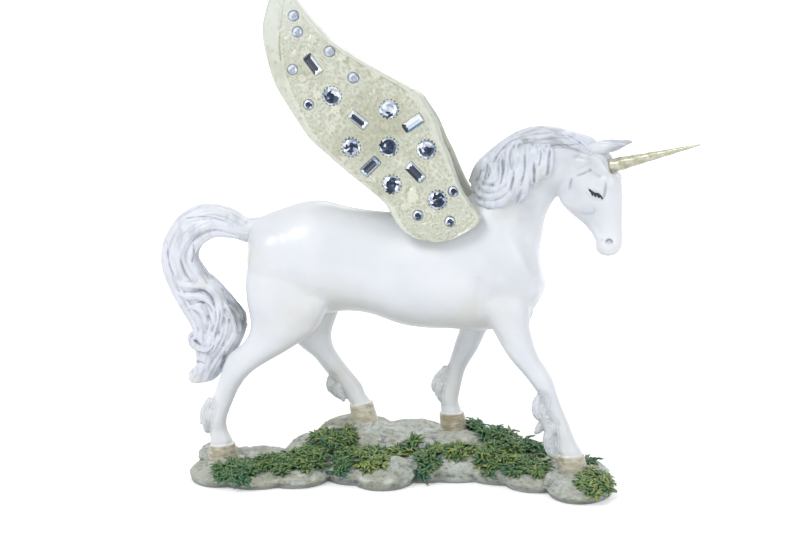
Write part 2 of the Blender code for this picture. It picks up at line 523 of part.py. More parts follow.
def add_tail(form):
    """The arched tail and the locks on both of its sides."""
    rings = []
    sides = 20
    for row in smooth_rows(TAIL, 3):
        middle, half = (row[0:2] + row[2:4]) / 2, (row[0:2] - row[2:4]) / 2
        ring = []
        for i in range(sides):
            angle = 2 * pi * i / sides
            x, z = middle + cos(angle) * half
            ring.append(Vector((tail_x(x), row[5] + sin(angle) * row[4], z)))
        rings.append(ring)
    skin(form, rings)
    for path in TAIL_LOCKS:
        for side in (1, -1):
            lock(form, [(tail_x(x), TAIL_MIDDLE + side * (y - TAIL_MIDDLE + TAIL_LOCKS_OUT), z, radius)
                        for x, z, radius, y in path])


def mane_path(tree, path, side, share):
    """A lock's path laid on the neck, cut to a share of its length: x, y, z."""
    rows = smooth_rows(path, 2)
    rows = rows[:max(4, round(share * len(rows)))]
    return [(x, side * max(surface_out(tree, x, z, side) or 0.0, MANE_LOCK), z) for x, z in rows]


def add_mane(form):
    """The mane, laid on the neck as it is so far, with the forelock."""
    tree = BVHTree.FromBMesh(form)
    for side in (-1, 1):
        share = 1.0 if side < 0 else FAR_MANE_SHARE
        for path in MANE_FALL + MANE_BAND:
            points = mane_path(tree, path, side, share)
            taper = [min(1.0, 0.5 + i, 0.4 + 0.3 * (len(points) - 1 - i)) for i in range(len(points))]
            lock(form, [(*point, MANE_LOCK * t) for point, t in zip(points, taper)], steps=2)
    turn = head_turn()
    for side, drop in FORELOCKS:
        path = FORELOCK + [(FORELOCK_TIP[0], FORELOCK_TIP[1], drop, FORELOCK_TIP[2])]
        lock(form, [(*(turn @ Vector((x, side * y, z))), radius) for x, y, z, radius in path])
    lock(form, [(x, 0.0, z, radius) for x, z, radius in CREST])


def add_base(form):
    """The rocks and the clumps of grass."""
    for x, y, rx, ry, height in ROCKS:
        sunk = ROCK_SUNK * height
        lump(form, (x, y, sunk), (rx, ry, height - sunk))
        lump(form, (x, y, 0.0), (rx * ROCK_FOOT[0], ry * ROCK_FOOT[1], sunk * ROCK_FOOT[2]))
    for x, y, z, rx, ry, rz in CLUMPS:
        lump(form, (x, y, z), (rx, ry, rz), detail=2)


def new_object(name, form, finish, collection):
    """An object made from a bmesh, with its material."""
    mesh = bpy.data.meshes.new(name)
    bmesh.ops.triangulate(form, faces=form.faces[:])
    form.to_mesh(mesh)
    form.free()
    made = bpy.data.objects.new(name, mesh)
    mesh.materials.append(material(finish))
    collection.objects.link(made)
    return made


def cutter(name, form, cutters):
    """A shape that only cuts others."""
    made = new_object(name, form, RESIN, cutters)
    made.hide_render = True
    made.display_type = "WIRE"
    return made


def cut(made, tool):
    """Takes a cutter's shape away from an object."""
    difference = made.modifiers.new(tool.name, "BOOLEAN")
    difference.operation = "DIFFERENCE"
    difference.object = tool


def horn_frame():
    """The horn's own axis as +Z, from its seat on the forehead."""
    rise, turned = radians(HORN_RISE), radians(-HEAD_TURN)
    along = Vector((cos(rise) * cos(turned), cos(rise) * sin(turned), sin(rise)))
    return Matrix.Translation(Vector(HORN_SEAT) * MM) @ along.to_track_quat("Z", "Y").to_matrix().to_4x4()


def make_casting(collection, cutters):
    """Horse, mane, tail and base, cast as one piece, with the horn's socket."""
    form = bmesh.new()
    add_body(form)
    add_face(form)
    add_mane(form)
    for name, rows, side in (("near_hind", NEAR_HIND, -1), ("far_hind", FAR_HIND, 1),
                             ("near_fore", NEAR_FORE, -1), ("far_fore", FAR_FORE, 1)):
        add_leg(form, name, rows, side)
    add_tail(form)
    add_base(form)
    casting = new_object("unicorn_casting", form, RESIN, collection)
    blend = casting.modifiers.new("one_skin", "REMESH")
    blend.mode = "VOXEL"
    blend.voxel_size = CASTING_VOXEL * MM
    soften = casting.modifiers.new("soften", "SMOOTH")
    soften.factor = 0.5
    soften.iterations = 2
    fewer = casting.modifiers.new("fewer_faces", "DECIMATE")
    fewer.ratio = CASTING_KEPT
    below = bmesh.new()
    span, depth = 240.0, 40.0
    bmesh.ops.create_cube(below, size=1.0, matrix=Matrix.Translation((0.0, 0.0, -depth / 2 * MM))
                          @ Matrix.Diagonal((span * MM, span * MM, depth * MM, 1.0)))
    cut(casting, cutter("ground_cutter", below, cutters))
    socket = bmesh.new()
    reach = 6.0
    bmesh.ops.create_cone(socket, cap_ends=True, segments=20, radius1=(HORN_ROOT_RADIUS + GLUE_GAP) * MM,
                          radius2=(HORN_ROOT_RADIUS + GLUE_GAP) * MM, depth=(HORN_SOCKET_DEPTH + reach) * MM,
                          matrix=horn_frame() @ Matrix.Translation((0, 0, (reach - HORN_SOCKET_DEPTH) / 2 * MM)))
    cut(casting, cutter("socket_cutter", socket, cutters))
    return casting


def make_horn(collection):
    """The spiral horn, with its root in the socket."""
    form = bmesh.new()
    frame = horn_frame()
    sides, levels, flutes = 12, 20, 2
    rings = []
    root = GLUE_GAP - HORN_SOCKET_DEPTH
    for i in range(levels + 1):
        share = i / levels
        height = root + share * (HORN_LENGTH - root)
        radius = HORN_ROOT_RADIUS + share * (HORN_TIP_RADIUS - HORN_ROOT_RADIUS)
        free = min(max(height / (0.05 * HORN_LENGTH), 0.0), 1.0)
        ring = []
        for k in range(sides):
            angle = 2 * pi * k / sides
            wave = cos(flutes * angle - 2 * pi * HORN_TURNS * share)
            swell = radius * (1 - free * HORN_FLUTE * (1 - wave) / 2)
            ring.append(frame @ (Vector((cos(angle) * swell, sin(angle) * swell, height)) * MM) / MM)
        rings.append(ring)
    skin(form, rings)
    return new_object("horn", form, HORN_GOLD, collection)


def lifted(z):
    """A height of the wing's tables, stretched above the foot to the wing's length."""
    return WING_FOOT + (z - WING_FOOT) * WING_LENGTH / WING_DRAWN


def wing_rows(steps):
    """The wing's outline and rims by height."""
    return smooth_rows([(lifted(z), *row) for z, *row in WING], steps)


def wing_edges(z):
    """Trailing x and leading x of the wing at a height."""
    rows = np.array(wing_rows(3))
    return [float(np.interp(z, rows[:, 0], rows[:, column])) for column in (1, 2)]


def wing_face(x, z):
    """How far out the sunken field of the wing lies."""
    trailing, leading = wing_edges(z)
    share = min(max((x - trailing) / (leading - trailing), 0.0), 1.0)
    return (WING_FACE_OUT - WING_LEAN * (z - WING_FOOT) + WING_TOE * (leading - x)
            + WING_CAMBER * sin(pi * share))


def sweep(side):
    """The left wing is set slightly lower and further back than the right one."""
    if side < 0:
        return Matrix.Identity(4)
    pivot = Matrix.Translation((WING_PAD[0], 0.0, WING_PAD[1]))
    lower = Matrix.Translation((0.0, 0.0, -LEFT_WING_DROP))
    return lower @ pivot @ Matrix.Rotation(radians(-LEFT_WING_SWEEP), 4, "Y") @ pivot.inverted()


def body_out(tree, x, z, side):
    """The body's surface near x, z, taken where it stands out most."""
    reach = 1.3
    near = [surface_out(tree, x + dx, z + dz, side)
            for dx, dz in ((0, 0), (reach, 0), (-reach, 0), (0, reach), (0, -reach))]
    near = [value for value in near if value is not None]
    return max(near) if near else None


def wing_spots(trailing, leading, rim_t, rim_l, fields=5):
    """Across the blade: x, how full the section is, and how far the rim is raised."""
    width = leading - trailing
    widest_rim, narrow_step, shoulder, rounding = 0.3 * width, 0.05 * width, 0.25, 0.8
    rim_t, rim_l, step = min(rim_t, widest_rim), min(rim_l, widest_rim), min(WING_RIM_STEP, narrow_step)
    inner_t, inner_l = trailing + rim_t + step, leading - rim_l - step
    spots = [(trailing, 0.0, 0.0), (trailing + shoulder * rim_t, rounding, 1.0), (trailing + rim_t, 1.0, 1.0)]
    spots += [(inner_t + (inner_l - inner_t) * i / fields, 1.0, 0.0) for i in range(fields + 1)]
    return spots + [(leading - rim_l, 1.0, 1.0), (leading - shoulder * rim_l, rounding, 1.0), (leading, 0.0, 0.0)]


def make_wing(side, tree, collection):
    """One wing: a blade with a raised rim, its foot pressed against the shoulder."""
    form = bmesh.new()
    rings = []
    for z, *row in wing_rows(2):
        outer_edge, inner_edge = [], []
        for x, full, raised in wing_spots(*row):
            middle = wing_face(x, z) - WING_THICKNESS / 2
            outer = middle + full * (WING_THICKNESS / 2 + raised * WING_RIM_RISE)
            pad = max(0.0, 1 - ((x - WING_PAD[0]) / WING_PAD_HALVES[0]) ** 2
                      - ((z - WING_PAD[1]) / WING_PAD_HALVES[1]) ** 2)
            inner = middle - full * (WING_THICKNESS / 2 + WING_PAD_DEPTH * pad)
            place = sweep(side) @ Vector((x, 0.0, z))
            blocked = body_out(tree, place.x, place.z, side)
            if blocked is not None:
                inner = max(inner, blocked + WING_SEAT_GAP)
                outer = max(outer, inner + (0.5 + full) * WING_LEAST)
            outer_edge.append(Vector((place.x, side * outer, place.z)))
            inner_edge.append(Vector((place.x, side * inner, place.z)))
        rings.append(outer_edge + inner_edge[::-1])
    skin(form, rings)
    bmesh.ops.remove_doubles(form, verts=form.verts, dist=0.02 * MM)
    return new_object(f"wing_{'left' if side > 0 else 'right'}", form, WING_PEARL, collection)


def seat_frame(x, z, side, tilt=0.0):
    """A frame on the wing's field at x, z, with +Z pointing out of it."""
    step = 0.5
    along_x = (wing_face(x + step, z) - wing_face(x - step, z)) / (2 * step)
    along_z = (wing_face(x, z + step) - wing_face(x, z - step)) / (2 * step)
    out = Vector((-along_x, side, -along_z)).normalized()
    right = Vector((cos(radians(tilt)), 0.0, sin(radians(tilt))))
    right = (right - right.dot(out) * out).normalized()
    up = out.cross(right)
    turn = Matrix((right, up, out)).transposed().to_4x4()
    swept = sweep(side)
    swept.translation *= MM
    return swept @ Matrix.Translation(Vector((x, side * wing_face(x, z), z)) * MM) @ turn


def ring_of(sides, radius, height, spin=0.0):
    """Points around a circle."""
    return [Vector((radius * cos(2 * pi * i / sides + spin), radius * sin(2 * pi * i / sides + spin), height))
            for i in range(sides)]


def box_ring(length, width, corner, height):
    """The eight corners of a rectangle with its corners cut."""
    a, b = length / 2, width / 2
    return [Vector((sx * (a - ox), sy * (b - oy), height)) for sx in (-1, 1) for sy in (-1, 1)
            for ox, oy in ((0, corner), (corner, 0))]


def hull(points, frame):
    """A closed convex form around points given in a frame."""
    form = bmesh.new()
    for point in points:
        form.verts.new(frame @ (point * MM))
    made = bmesh.ops.convex_hull(form, input=form.verts)
    spare = [v for v in made["geom_interior"] if isinstance(v, bmesh.types.BMVert)]
    bmesh.ops.delete(form, geom=spare, context="VERTS")
    bmesh.ops.recalc_face_normals(form, faces=form.faces)
    return form


def round_gem(diameter, sides):
    """A flat-backed round stone: back, girdle, kite ring and table."""
    radius, crown, kite_height = diameter / 2, CROWN_SHARE * diameter, 0.6
    back = GLUE_GAP - POCKET_DEPTH
    return (ring_of(sides, BACK_SHARE * radius, back) + ring_of(sides, radius, GIRDLE_RISE - GIRDLE_THICKNESS)
            + ring_of(sides, radius, GIRDLE_RISE)
            + ring_of(sides, KITE_SHARE * radius, GIRDLE_RISE + kite_height * crown, pi / sides)
            + ring_of(sides, TABLE_SHARE * radius, GIRDLE_RISE + crown))


def baguette_gem():
    """A flat-backed step-cut stone."""
    length, width, corner = BAGUETTE_LENGTH, BAGUETTE_WIDTH, CORNER_SHARE * BAGUETTE_WIDTH
    back, crown = GLUE_GAP - POCKET_DEPTH, STEP_CROWN_SHARE * BAGUETTE_WIDTH
    taper, bevel = (1 - BACK_SHARE) * width, (1 - TABLE_SHARE) * width
    return (box_ring(length - taper, width - taper, corner, back) + box_ring(length, width, corner, GIRDLE_RISE)
            + box_ring(length - bevel, width - bevel, corner, GIRDLE_RISE + crown))


def make_gems(side, wing, collection, cutters):
    """The stones of one wing, and the pockets that hold them."""
    word = "left" if side > 0 else "right"
    pockets = bmesh.new()
    lift = 3.0
    kinds = [("round", ROUND_GEMS, ROUND_GEM, 8), ("small", SMALL_GEMS, SMALL_GEM, 6)]
    for kind, places, diameter, sides in kinds:
        for number, (x, z) in enumerate(places, 1):
            frame = seat_frame(x, lifted(z), side)
            form = hull(round_gem(diameter, sides), frame)
            new_object(f"gem_{kind}_{word}_{number}", form, GEM_GLASS, collection)
            bmesh.ops.create_cone(pockets, cap_ends=True, segments=12,
                                  radius1=(diameter / 2 + GLUE_GAP) / cos(pi / 12) * MM,
                                  radius2=(diameter / 2 + GLUE_GAP) / cos(pi / 12) * MM,
                                  depth=(POCKET_DEPTH + lift) * MM,
                                  matrix=frame @ Matrix.Translation((0, 0, (lift - POCKET_DEPTH) / 2 * MM)))
    for number, (x, z, tilt) in enumerate(BAGUETTES, 1):
        frame = seat_frame(x, lifted(z), side, tilt)
        new_object(f"gem_baguette_{word}_{number}", hull(baguette_gem(), frame), GEM_GLASS, collection)
        room = Matrix.Diagonal(((BAGUETTE_LENGTH + 2 * GLUE_GAP) * MM, (BAGUETTE_WIDTH + 2 * GLUE_GAP) * MM,
                                (POCKET_DEPTH + lift) * MM, 1.0))
        bmesh.ops.create_cube(pockets, size=1.0,
                              matrix=frame @ Matrix.Translation((0, 0, (lift - POCKET_DEPTH) / 2 * MM)) @ room)
    cut(wing, cutter(f"pocket_cutter_{word}", pockets, cutters))


def main():
    for old in list(bpy.data.objects):
        bpy.data.objects.remove(old, do_unlink=True)
    collection = bpy.data.collections.new("winged_unicorn")
    cutters = bpy.data.collections.new("cutters")
    for made in (collection, cutters):
        bpy.context.scene.collection.children.link(made)
    casting = make_casting(collection, cutters)
    make_horn(collection)
    bpy.context.view_layer.update()
    tree = BVHTree.FromObject(casting, bpy.context.evaluated_depsgraph_get())
    for side in (-1, 1):
        wing = make_wing(side, tree, collection)
        make_gems(side, wing, collection, cutters)


main()
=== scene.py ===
"""Looks of the winged unicorn figurine: carved hair, painted resin, pearl wings and cut stones.

Sizes and places are in millimetres, and MM turns them into metres.
"""
import bmesh
import bpy
import numpy as np
import random
from math import cos, pi, radians, sin
from mathutils import Matrix, Vector, noise
from mathutils.bvhtree import BVHTree


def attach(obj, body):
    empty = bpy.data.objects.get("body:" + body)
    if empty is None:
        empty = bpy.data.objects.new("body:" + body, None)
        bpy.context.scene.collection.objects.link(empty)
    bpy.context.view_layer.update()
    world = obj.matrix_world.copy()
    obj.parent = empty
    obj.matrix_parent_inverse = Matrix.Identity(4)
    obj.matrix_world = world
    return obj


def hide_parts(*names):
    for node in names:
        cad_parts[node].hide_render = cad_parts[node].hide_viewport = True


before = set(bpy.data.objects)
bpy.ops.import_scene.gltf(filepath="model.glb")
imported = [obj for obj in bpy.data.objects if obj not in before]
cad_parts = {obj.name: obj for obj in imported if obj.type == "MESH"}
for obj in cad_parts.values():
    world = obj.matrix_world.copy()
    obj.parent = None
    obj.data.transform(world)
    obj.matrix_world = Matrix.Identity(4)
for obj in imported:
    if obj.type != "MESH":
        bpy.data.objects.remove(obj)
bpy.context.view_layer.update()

MM = 0.001
SEED = 7

# Camera: where it looks, from how far, and from what angle
LOOK_AT = (0.0, 0.0, 75.0)
CAMERA_DISTANCE = 900.0
CAMERA_AZIMUTH = 7.0
CAMERA_ELEVATION = 12.0
CAMERA_LENS = 112.5
SENSOR_WIDTH = 36.0

# Studio: the world's light, the floor, and the lamps with their place in metres, size and power
WORLD_COLOUR = (0.95, 0.97, 1.0, 1.0)
WORLD_STRENGTH = 0.66
PURE_WHITE = (1.0, 1.0, 1.0, 1.0)
FLOOR_COLOUR = (0.9, 0.9, 0.9, 1.0)
FLOOR_HALF = 8.0
FLOOR_BELOW = 0.0002
FLOOR_GLOW = 0.31
FLOOR_GLOW_REACH = (0.1, 0.9)
LAMPS = {
    "key_lamp": ((-0.55, -0.75, 1.0), 0.5, 6.0),
    "fill_lamp": ((0.9, -0.8, 0.6), 0.9, 3.1),
    "back_lamp": ((0.2, 1.0, 0.9), 0.8, 4.0),
}

# Legs: the hooves stand this far out from the middle plane, and widen by the flare towards the ground
LEG_OUT = 11.0
HOOF_FLARE = 0.6
# Gaps for the glue: round the stones and the horn's root, and behind the wings' pads
GLUE_GAP = 0.25
WING_SEAT_GAP = 0.3

# Head
HEAD_TURN = 14.0
POLL_X = 62.0

# Horn
HORN_LENGTH = 33.0
HORN_ROOT_RADIUS = 2.8
HORN_TIP_RADIUS = 0.35
HORN_RISE = 16.4
HORN_TURNS = 6.0
HORN_FLUTES = 2
HORN_FLUTE = 0.14
HORN_SOCKET_DEPTH = 1.6
HORN_SEAT = (75.6, -3.3, 114.3)

# Wings: the tables give them 91.8 high above the foot, and WING_LENGTH stretches them
WING_LENGTH = 91.8
WING_DRAWN = 91.8
WING_FOOT = 88.4
WING_THICKNESS = 3.6
WING_LEAST = 1.2
WING_RIM_RISE = 0.8
WING_FACE_OUT = 17.2
WING_LEAN = 0.12
WING_TOE = 0.06
WING_CAMBER = 1.2
WING_PAD_DEPTH = 5.0
WING_PAD = (15.0, 93.5)
WING_PAD_HALVES = (13.0, 6.5)
LEFT_WING_SWEEP = 1.8
LEFT_WING_DROP = 2.6

# Gems
ROUND_GEM = 6.6
SMALL_GEM = 3.6
BAGUETTE_LENGTH = 7.4
BAGUETTE_WIDTH = 3.3
POCKET_DEPTH = 1.5
GIRDLE_RISE = 0.35

# Shapes of the stones, as shares of their width: crown, back, kites, table, cut corner
CROWN_SHARE = 0.2
STEP_CROWN_SHARE = 0.3
BACK_SHARE = 0.92
KITE_SHARE = 0.8
TABLE_SHARE = 0.55
CORNER_SHARE = 0.12
GIRDLE_THICKNESS = 0.2

# The tail: the tables give it 31.6 behind its root, and TAIL_REACH stretches it
TAIL_REACH = 31.6
TAIL_DRAWN = 31.6
TAIL_ROOT_X = -55.0
TAIL_MIDDLE = -1.5
TAIL_LOCKS_OUT = 1.2

# Locks of the mane: the radius of one, and how much shorter the left side's are
MANE_LOCK = 1.75
FAR_MANE_SHARE = 0.85


# The body and neck, from tail to poll. Each row is a cut: its top point x, z,
# its bottom point x, z, its half width, and how much wider it is low down.
TORSO = [
    (-54.8, 83.0, -55.2, 77.0, 2.5, 0.0),
    (-53.5, 90.3, -54.8, 69.0, 9.0, 0.0),
    (-49.0, 93.2, -52.0, 62.0, 13.2, 0.0),
    (-42.0, 95.9, -44.0, 58.0, 15.8, -0.05),
    (-35.0, 98.2, -36.0, 56.5, 17.2, -0.05),
    (-28.0, 98.8, -28.5, 57.0, 17.4, 0.0),
    (-20.0, 97.0, -20.0, 58.8, 16.8, 0.05),
    (-10.0, 95.6, -10.5, 58.2, 16.4, 0.12),
    (0.0, 95.2, 0.0, 54.8, 17.0, 0.15),
    (8.0, 95.6, 9.0, 53.5, 17.4, 0.15),
    (15.0, 97.0, 19.0, 53.4, 17.2, 0.12),
    (20.0, 98.8, 30.0, 53.0, 16.6, 0.12),
    (24.0, 101.0, 40.0, 55.0, 16.2, 0.14),
    (26.0, 103.0, 47.5, 60.0, 15.6, 0.16),
    (27.5, 105.5, 52.6, 69.5, 13.8, 0.18),
    (29.3, 108.3, 51.3, 76.5, 11.6, 0.12),
    (31.8, 111.5, 50.5, 82.5, 10.0, 0.05),
    (35.5, 115.4, 51.3, 88.5, 8.9, 0.0),
    (41.0, 119.9, 52.4, 95.2, 8.0, 0.0),
    (47.7, 123.0, 55.4, 101.3, 7.3, 0.0),
    (55.5, 124.2, 58.8, 105.5, 6.7, 0.0),
    (63.0, 122.8, 63.5, 107.5, 6.0, 0.0),
    (68.0, 119.0, 66.0, 111.0, 4.0, 0.0),
]

# The head, from poll to lips, cut from the face line to the jaw line.
HEAD = [
    (66.0, 120.6, 60.5, 115.6, 4.2, 0.0),
    (71.4, 120.2, 59.5, 111.6, 6.0, 0.0),
    (74.8, 117.4, 57.6, 106.8, 6.5, 0.0),
    (77.6, 112.7, 57.2, 101.8, 6.6, -0.08),
    (79.7, 108.3, 59.2, 97.8, 6.5, -0.12),
    (80.2, 103.4, 62.6, 95.2, 5.7, -0.1),
    (80.2, 98.2, 65.7, 93.0, 4.7, 0.0),
    (80.2, 92.8, 68.4, 90.2, 4.1, 0.0),
    (80.4, 88.6, 70.4, 87.2, 4.2, 0.05),
    (80.3, 85.5, 70.5, 84.4, 4.1, 0.0),
    (78.6, 82.8, 72.2, 82.4, 3.1, 0.0),
    (76.0, 81.7, 74.4, 81.7, 1.0, 0.0),
]

# The legs, from hip or shoulder to coronet: rear point x, z, front point x, z,
# half width, and how far out the leg is as a share of LEG_OUT.
NEAR_HIND = [
    (-51.0, 85.0, -35.0, 87.0, 5.5, 0.5),
    (-54.7, 74.0, -28.0, 75.0, 7.6, 0.74),
    (-54.5, 64.0, -25.5, 62.5, 8.0, 0.84),
    (-53.0, 55.5, -28.8, 54.0, 6.8, 0.9),
    (-54.2, 50.3, -34.6, 49.0, 5.6, 0.93),
    (-57.2, 46.8, -40.6, 45.0, 4.9, 0.96),
    (-61.3, 43.3, -46.6, 41.4, 4.4, 0.98),
    (-63.2, 38.8, -51.5, 38.2, 4.3, 1.0),
    (-64.5, 34.9, -54.9, 34.8, 4.1, 1.0),
    (-66.0, 31.0, -57.5, 30.8, 3.6, 1.0),
    (-67.3, 27.0, -59.3, 26.8, 3.3, 1.0),
    (-68.6, 22.9, -60.9, 22.8, 3.3, 1.0),
    (-69.5, 19.2, -62.1, 19.2, 3.8, 1.0),
    (-68.6, 15.4, -61.8, 15.6, 3.4, 1.0),
    (-68.3, 11.6, -60.3, 12.4, 4.2, 1.0),
    (-68.4, 9.4, -59.6, 10.4, 4.5, 1.0),
]
FAR_HIND = [
    (-49.0, 84.0, -33.0, 85.0, 5.5, 0.5),
    (-53.0, 72.0, -25.0, 71.0, 7.6, 0.74),
    (-50.5, 60.5, -22.6, 60.5, 7.5, 0.84),
    (-46.0, 51.5, -25.0, 52.8, 6.2, 0.9),
    (-42.0, 46.3, -26.6, 47.2, 5.2, 0.94),
    (-37.8, 41.8, -25.7, 42.0, 4.6, 0.97),
    (-33.6, 38.7, -23.0, 37.6, 4.4, 0.99),
    (-31.0, 35.4, -20.4, 34.2, 4.2, 1.0),
    (-28.0, 31.6, -18.2, 31.6, 3.7, 1.0),
    (-25.2, 28.4, -16.2, 29.2, 3.4, 1.0),
    (-22.8, 25.6, -14.8, 26.8, 3.5, 1.0),
    (-21.2, 23.0, -14.2, 24.6, 3.8, 1.0),
    (-20.2, 21.4, -12.8, 23.0, 3.8, 1.0),
    (-19.9, 20.2, -11.8, 22.0, 4.4, 1.0),
]
NEAR_FORE = [
    (23.0, 79.0, 43.0, 76.0, 6.0, 0.64),
    (27.0, 67.0, 47.4, 65.0, 7.2, 0.8),
    (33.0, 57.5, 47.6, 58.0, 6.3, 0.88),
    (37.0, 50.8, 49.2, 51.0, 5.3, 0.93),
    (41.0, 44.8, 51.4, 45.4, 4.7, 0.97),
    (44.7, 40.8, 54.1, 41.6, 4.5, 0.99),
    (48.0, 36.8, 56.3, 37.7, 4.4, 1.0),
    (50.3, 33.6, 57.5, 34.0, 3.9, 1.0),
    (52.0, 30.0, 58.8, 30.0, 3.3, 1.0),
    (53.6, 26.2, 60.4, 26.0, 3.2, 1.0),
    (55.5, 22.1, 62.2, 21.8, 3.3, 1.0),
    (56.9, 18.7, 63.6, 17.9, 3.8, 1.0),
    (57.6, 15.6, 64.9, 15.1, 3.5, 1.0),
    (57.8, 12.3, 66.5, 12.4, 4.2, 1.0),
    (57.9, 10.2, 67.4, 10.6, 4.5, 1.0),
]
FAR_FORE = [
    (20.0, 74.0, 38.0, 72.0, 6.0, 0.64),
    (19.5, 61.0, 36.0, 59.0, 6.2, 0.82),
    (20.6, 51.5, 31.0, 51.0, 5.0, 0.92),
    (19.3, 46.8, 29.0, 46.6, 4.6, 0.96),
    (18.1, 42.7, 27.1, 42.5, 4.5, 0.98),
    (17.0, 39.0, 24.8, 38.8, 4.1, 1.0),
    (15.6, 35.2, 22.8, 34.9, 3.5, 1.0),
    (14.6, 31.0, 21.8, 31.0, 3.2, 1.0),
    (13.9, 27.2, 21.0, 27.1, 3.2, 1.0),
    (13.3, 24.0, 20.3, 23.7, 3.7, 1.0),
    (13.7, 21.2, 20.9, 20.9, 3.4, 1.0),
    (13.5, 18.6, 21.9, 18.8, 4.4, 1.0),
]

# The hooves: coronet rear x, z, front x, z, then sole rear x, z, front x, z.
HOOVES = {
    "near_hind": (-68.5, 9.6, -59.3, 10.6, -69.4, 3.6, -57.8, 3.6),
    "far_hind": (-20.1, 20.4, -11.7, 22.1, -19.0, 14.0, -8.8, 12.0),
    "near_fore": (57.8, 10.4, 67.6, 10.7, 58.8, 3.4, 69.6, 3.2),
    "far_fore": (13.4, 18.7, 22.1, 18.9, 14.0, 11.6, 23.8, 11.8),
}
HOOF_HALF_WIDTH = 4.6

# The tail: outer point x, z, inner point x, z, half width, middle y.
TAIL = [
    (-50.0, 92.6, -51.0, 82.6, 4.4, 0.0),
    (-55.8, 92.4, -56.4, 83.0, 4.6, 0.0),
    (-62.0, 95.4, -62.8, 85.4, 5.0, 0.0),
    (-71.0, 96.4, -69.6, 85.6, 5.4, 0.0),
    (-78.8, 93.0, -73.6, 83.4, 5.8, 0.0),
    (-84.2, 86.2, -75.0, 79.8, 6.0, -0.3),
    (-86.6, 77.0, -74.8, 76.2, 6.2, -0.6),
    (-85.0, 69.8, -72.4, 72.8, 6.4, -1.0),
    (-81.8, 62.6, -67.8, 67.8, 6.6, -1.5),
    (-77.8, 57.2, -63.0, 63.6, 6.8, -2.0),
    (-74.8, 52.6, -58.9, 58.8, 6.8, -2.5),
    (-73.4, 48.0, -56.2, 52.6, 6.6, -3.0),
    (-74.4, 43.6, -59.4, 44.6, 6.0, -3.2),
    (-74.4, 39.0, -63.2, 39.4, 5.0, -3.3),
    (-76.2, 34.2, -65.8, 34.8, 4.2, -3.4),
    (-77.2, 31.4, -68.6, 32.0, 3.0, -3.6),
    (-74.8, 30.6, -72.6, 31.0, 1.0, -3.6),
]

# Locks of the tail, each a path of x, z points with its radius and its y.
TAIL_LOCKS = [
    [(-56.0, 90.2, 1.8, -3.6), (-66.0, 94.2, 2.2, -4.4), (-76.2, 91.8, 2.4, -4.8), (-82.8, 84.4, 2.4, -5.0),
     (-84.6, 76.4, 2.3, -5.2), (-82.6, 68.6, 2.2, -5.6), (-78.8, 61.4, 2.2, -6.2), (-74.8, 54.8, 2.0, -6.6),
     (-73.6, 49.2, 1.5, -6.6), (-76.9, 45.2, 0.6, -5.6)],
    [(-56.0, 87.0, 2.0, -4.0), (-67.0, 90.0, 2.6, -5.0), (-75.6, 86.4, 2.8, -5.8), (-79.6, 79.4, 2.8, -6.2),
     (-79.0, 71.6, 2.8, -6.8), (-74.6, 64.6, 2.8, -7.4), (-69.0, 58.4, 2.6, -8.0), (-66.2, 52.0, 2.4, -8.2),
     (-68.2, 45.6, 2.0, -7.6), (-72.6, 41.4, 0.9, -6.2)],
    [(-58.0, 85.8, 1.6, -4.0), (-67.0, 87.0, 1.9, -5.0), (-73.8, 82.6, 2.0, -5.8), (-75.8, 76.4, 2.0, -6.2),
     (-72.4, 70.4, 2.2, -6.8), (-66.4, 64.6, 2.3, -7.2), (-60.8, 58.4, 2.4, -7.4), (-58.8, 51.8, 2.4, -7.4),
     (-62.8, 45.2, 2.2, -7.2), (-67.4, 40.0, 2.0, -6.8), (-71.4, 35.4, 1.6, -6.0), (-76.8, 32.2, 0.7, -4.8)],
    [(-70.0, 58.0, 1.6, -7.4), (-70.8, 51.0, 2.1, -7.4), (-71.6, 45.0, 2.1, -6.8), (-71.6, 39.4, 1.9, -6.0),
     (-74.8, 34.2, 1.3, -5.0), (-77.4, 32.0, 0.6, -4.4)],
    [(-63.6, 52.4, 1.4, -8.2), (-66.8, 48.8, 1.9, -8.8), (-70.4, 46.2, 2.1, -8.2), (-73.8, 45.0, 1.7, -6.6),
     (-76.2, 45.6, 1.0, -5.2), (-76.4, 47.0, 0.5, -4.8)],
    [(-65.6, 42.6, 1.2, -7.4), (-67.8, 38.4, 1.8, -7.4), (-71.0, 35.0, 2.0, -6.6), (-74.8, 33.4, 1.7, -5.6),
     (-77.2, 34.6, 0.9, -5.0)],
]

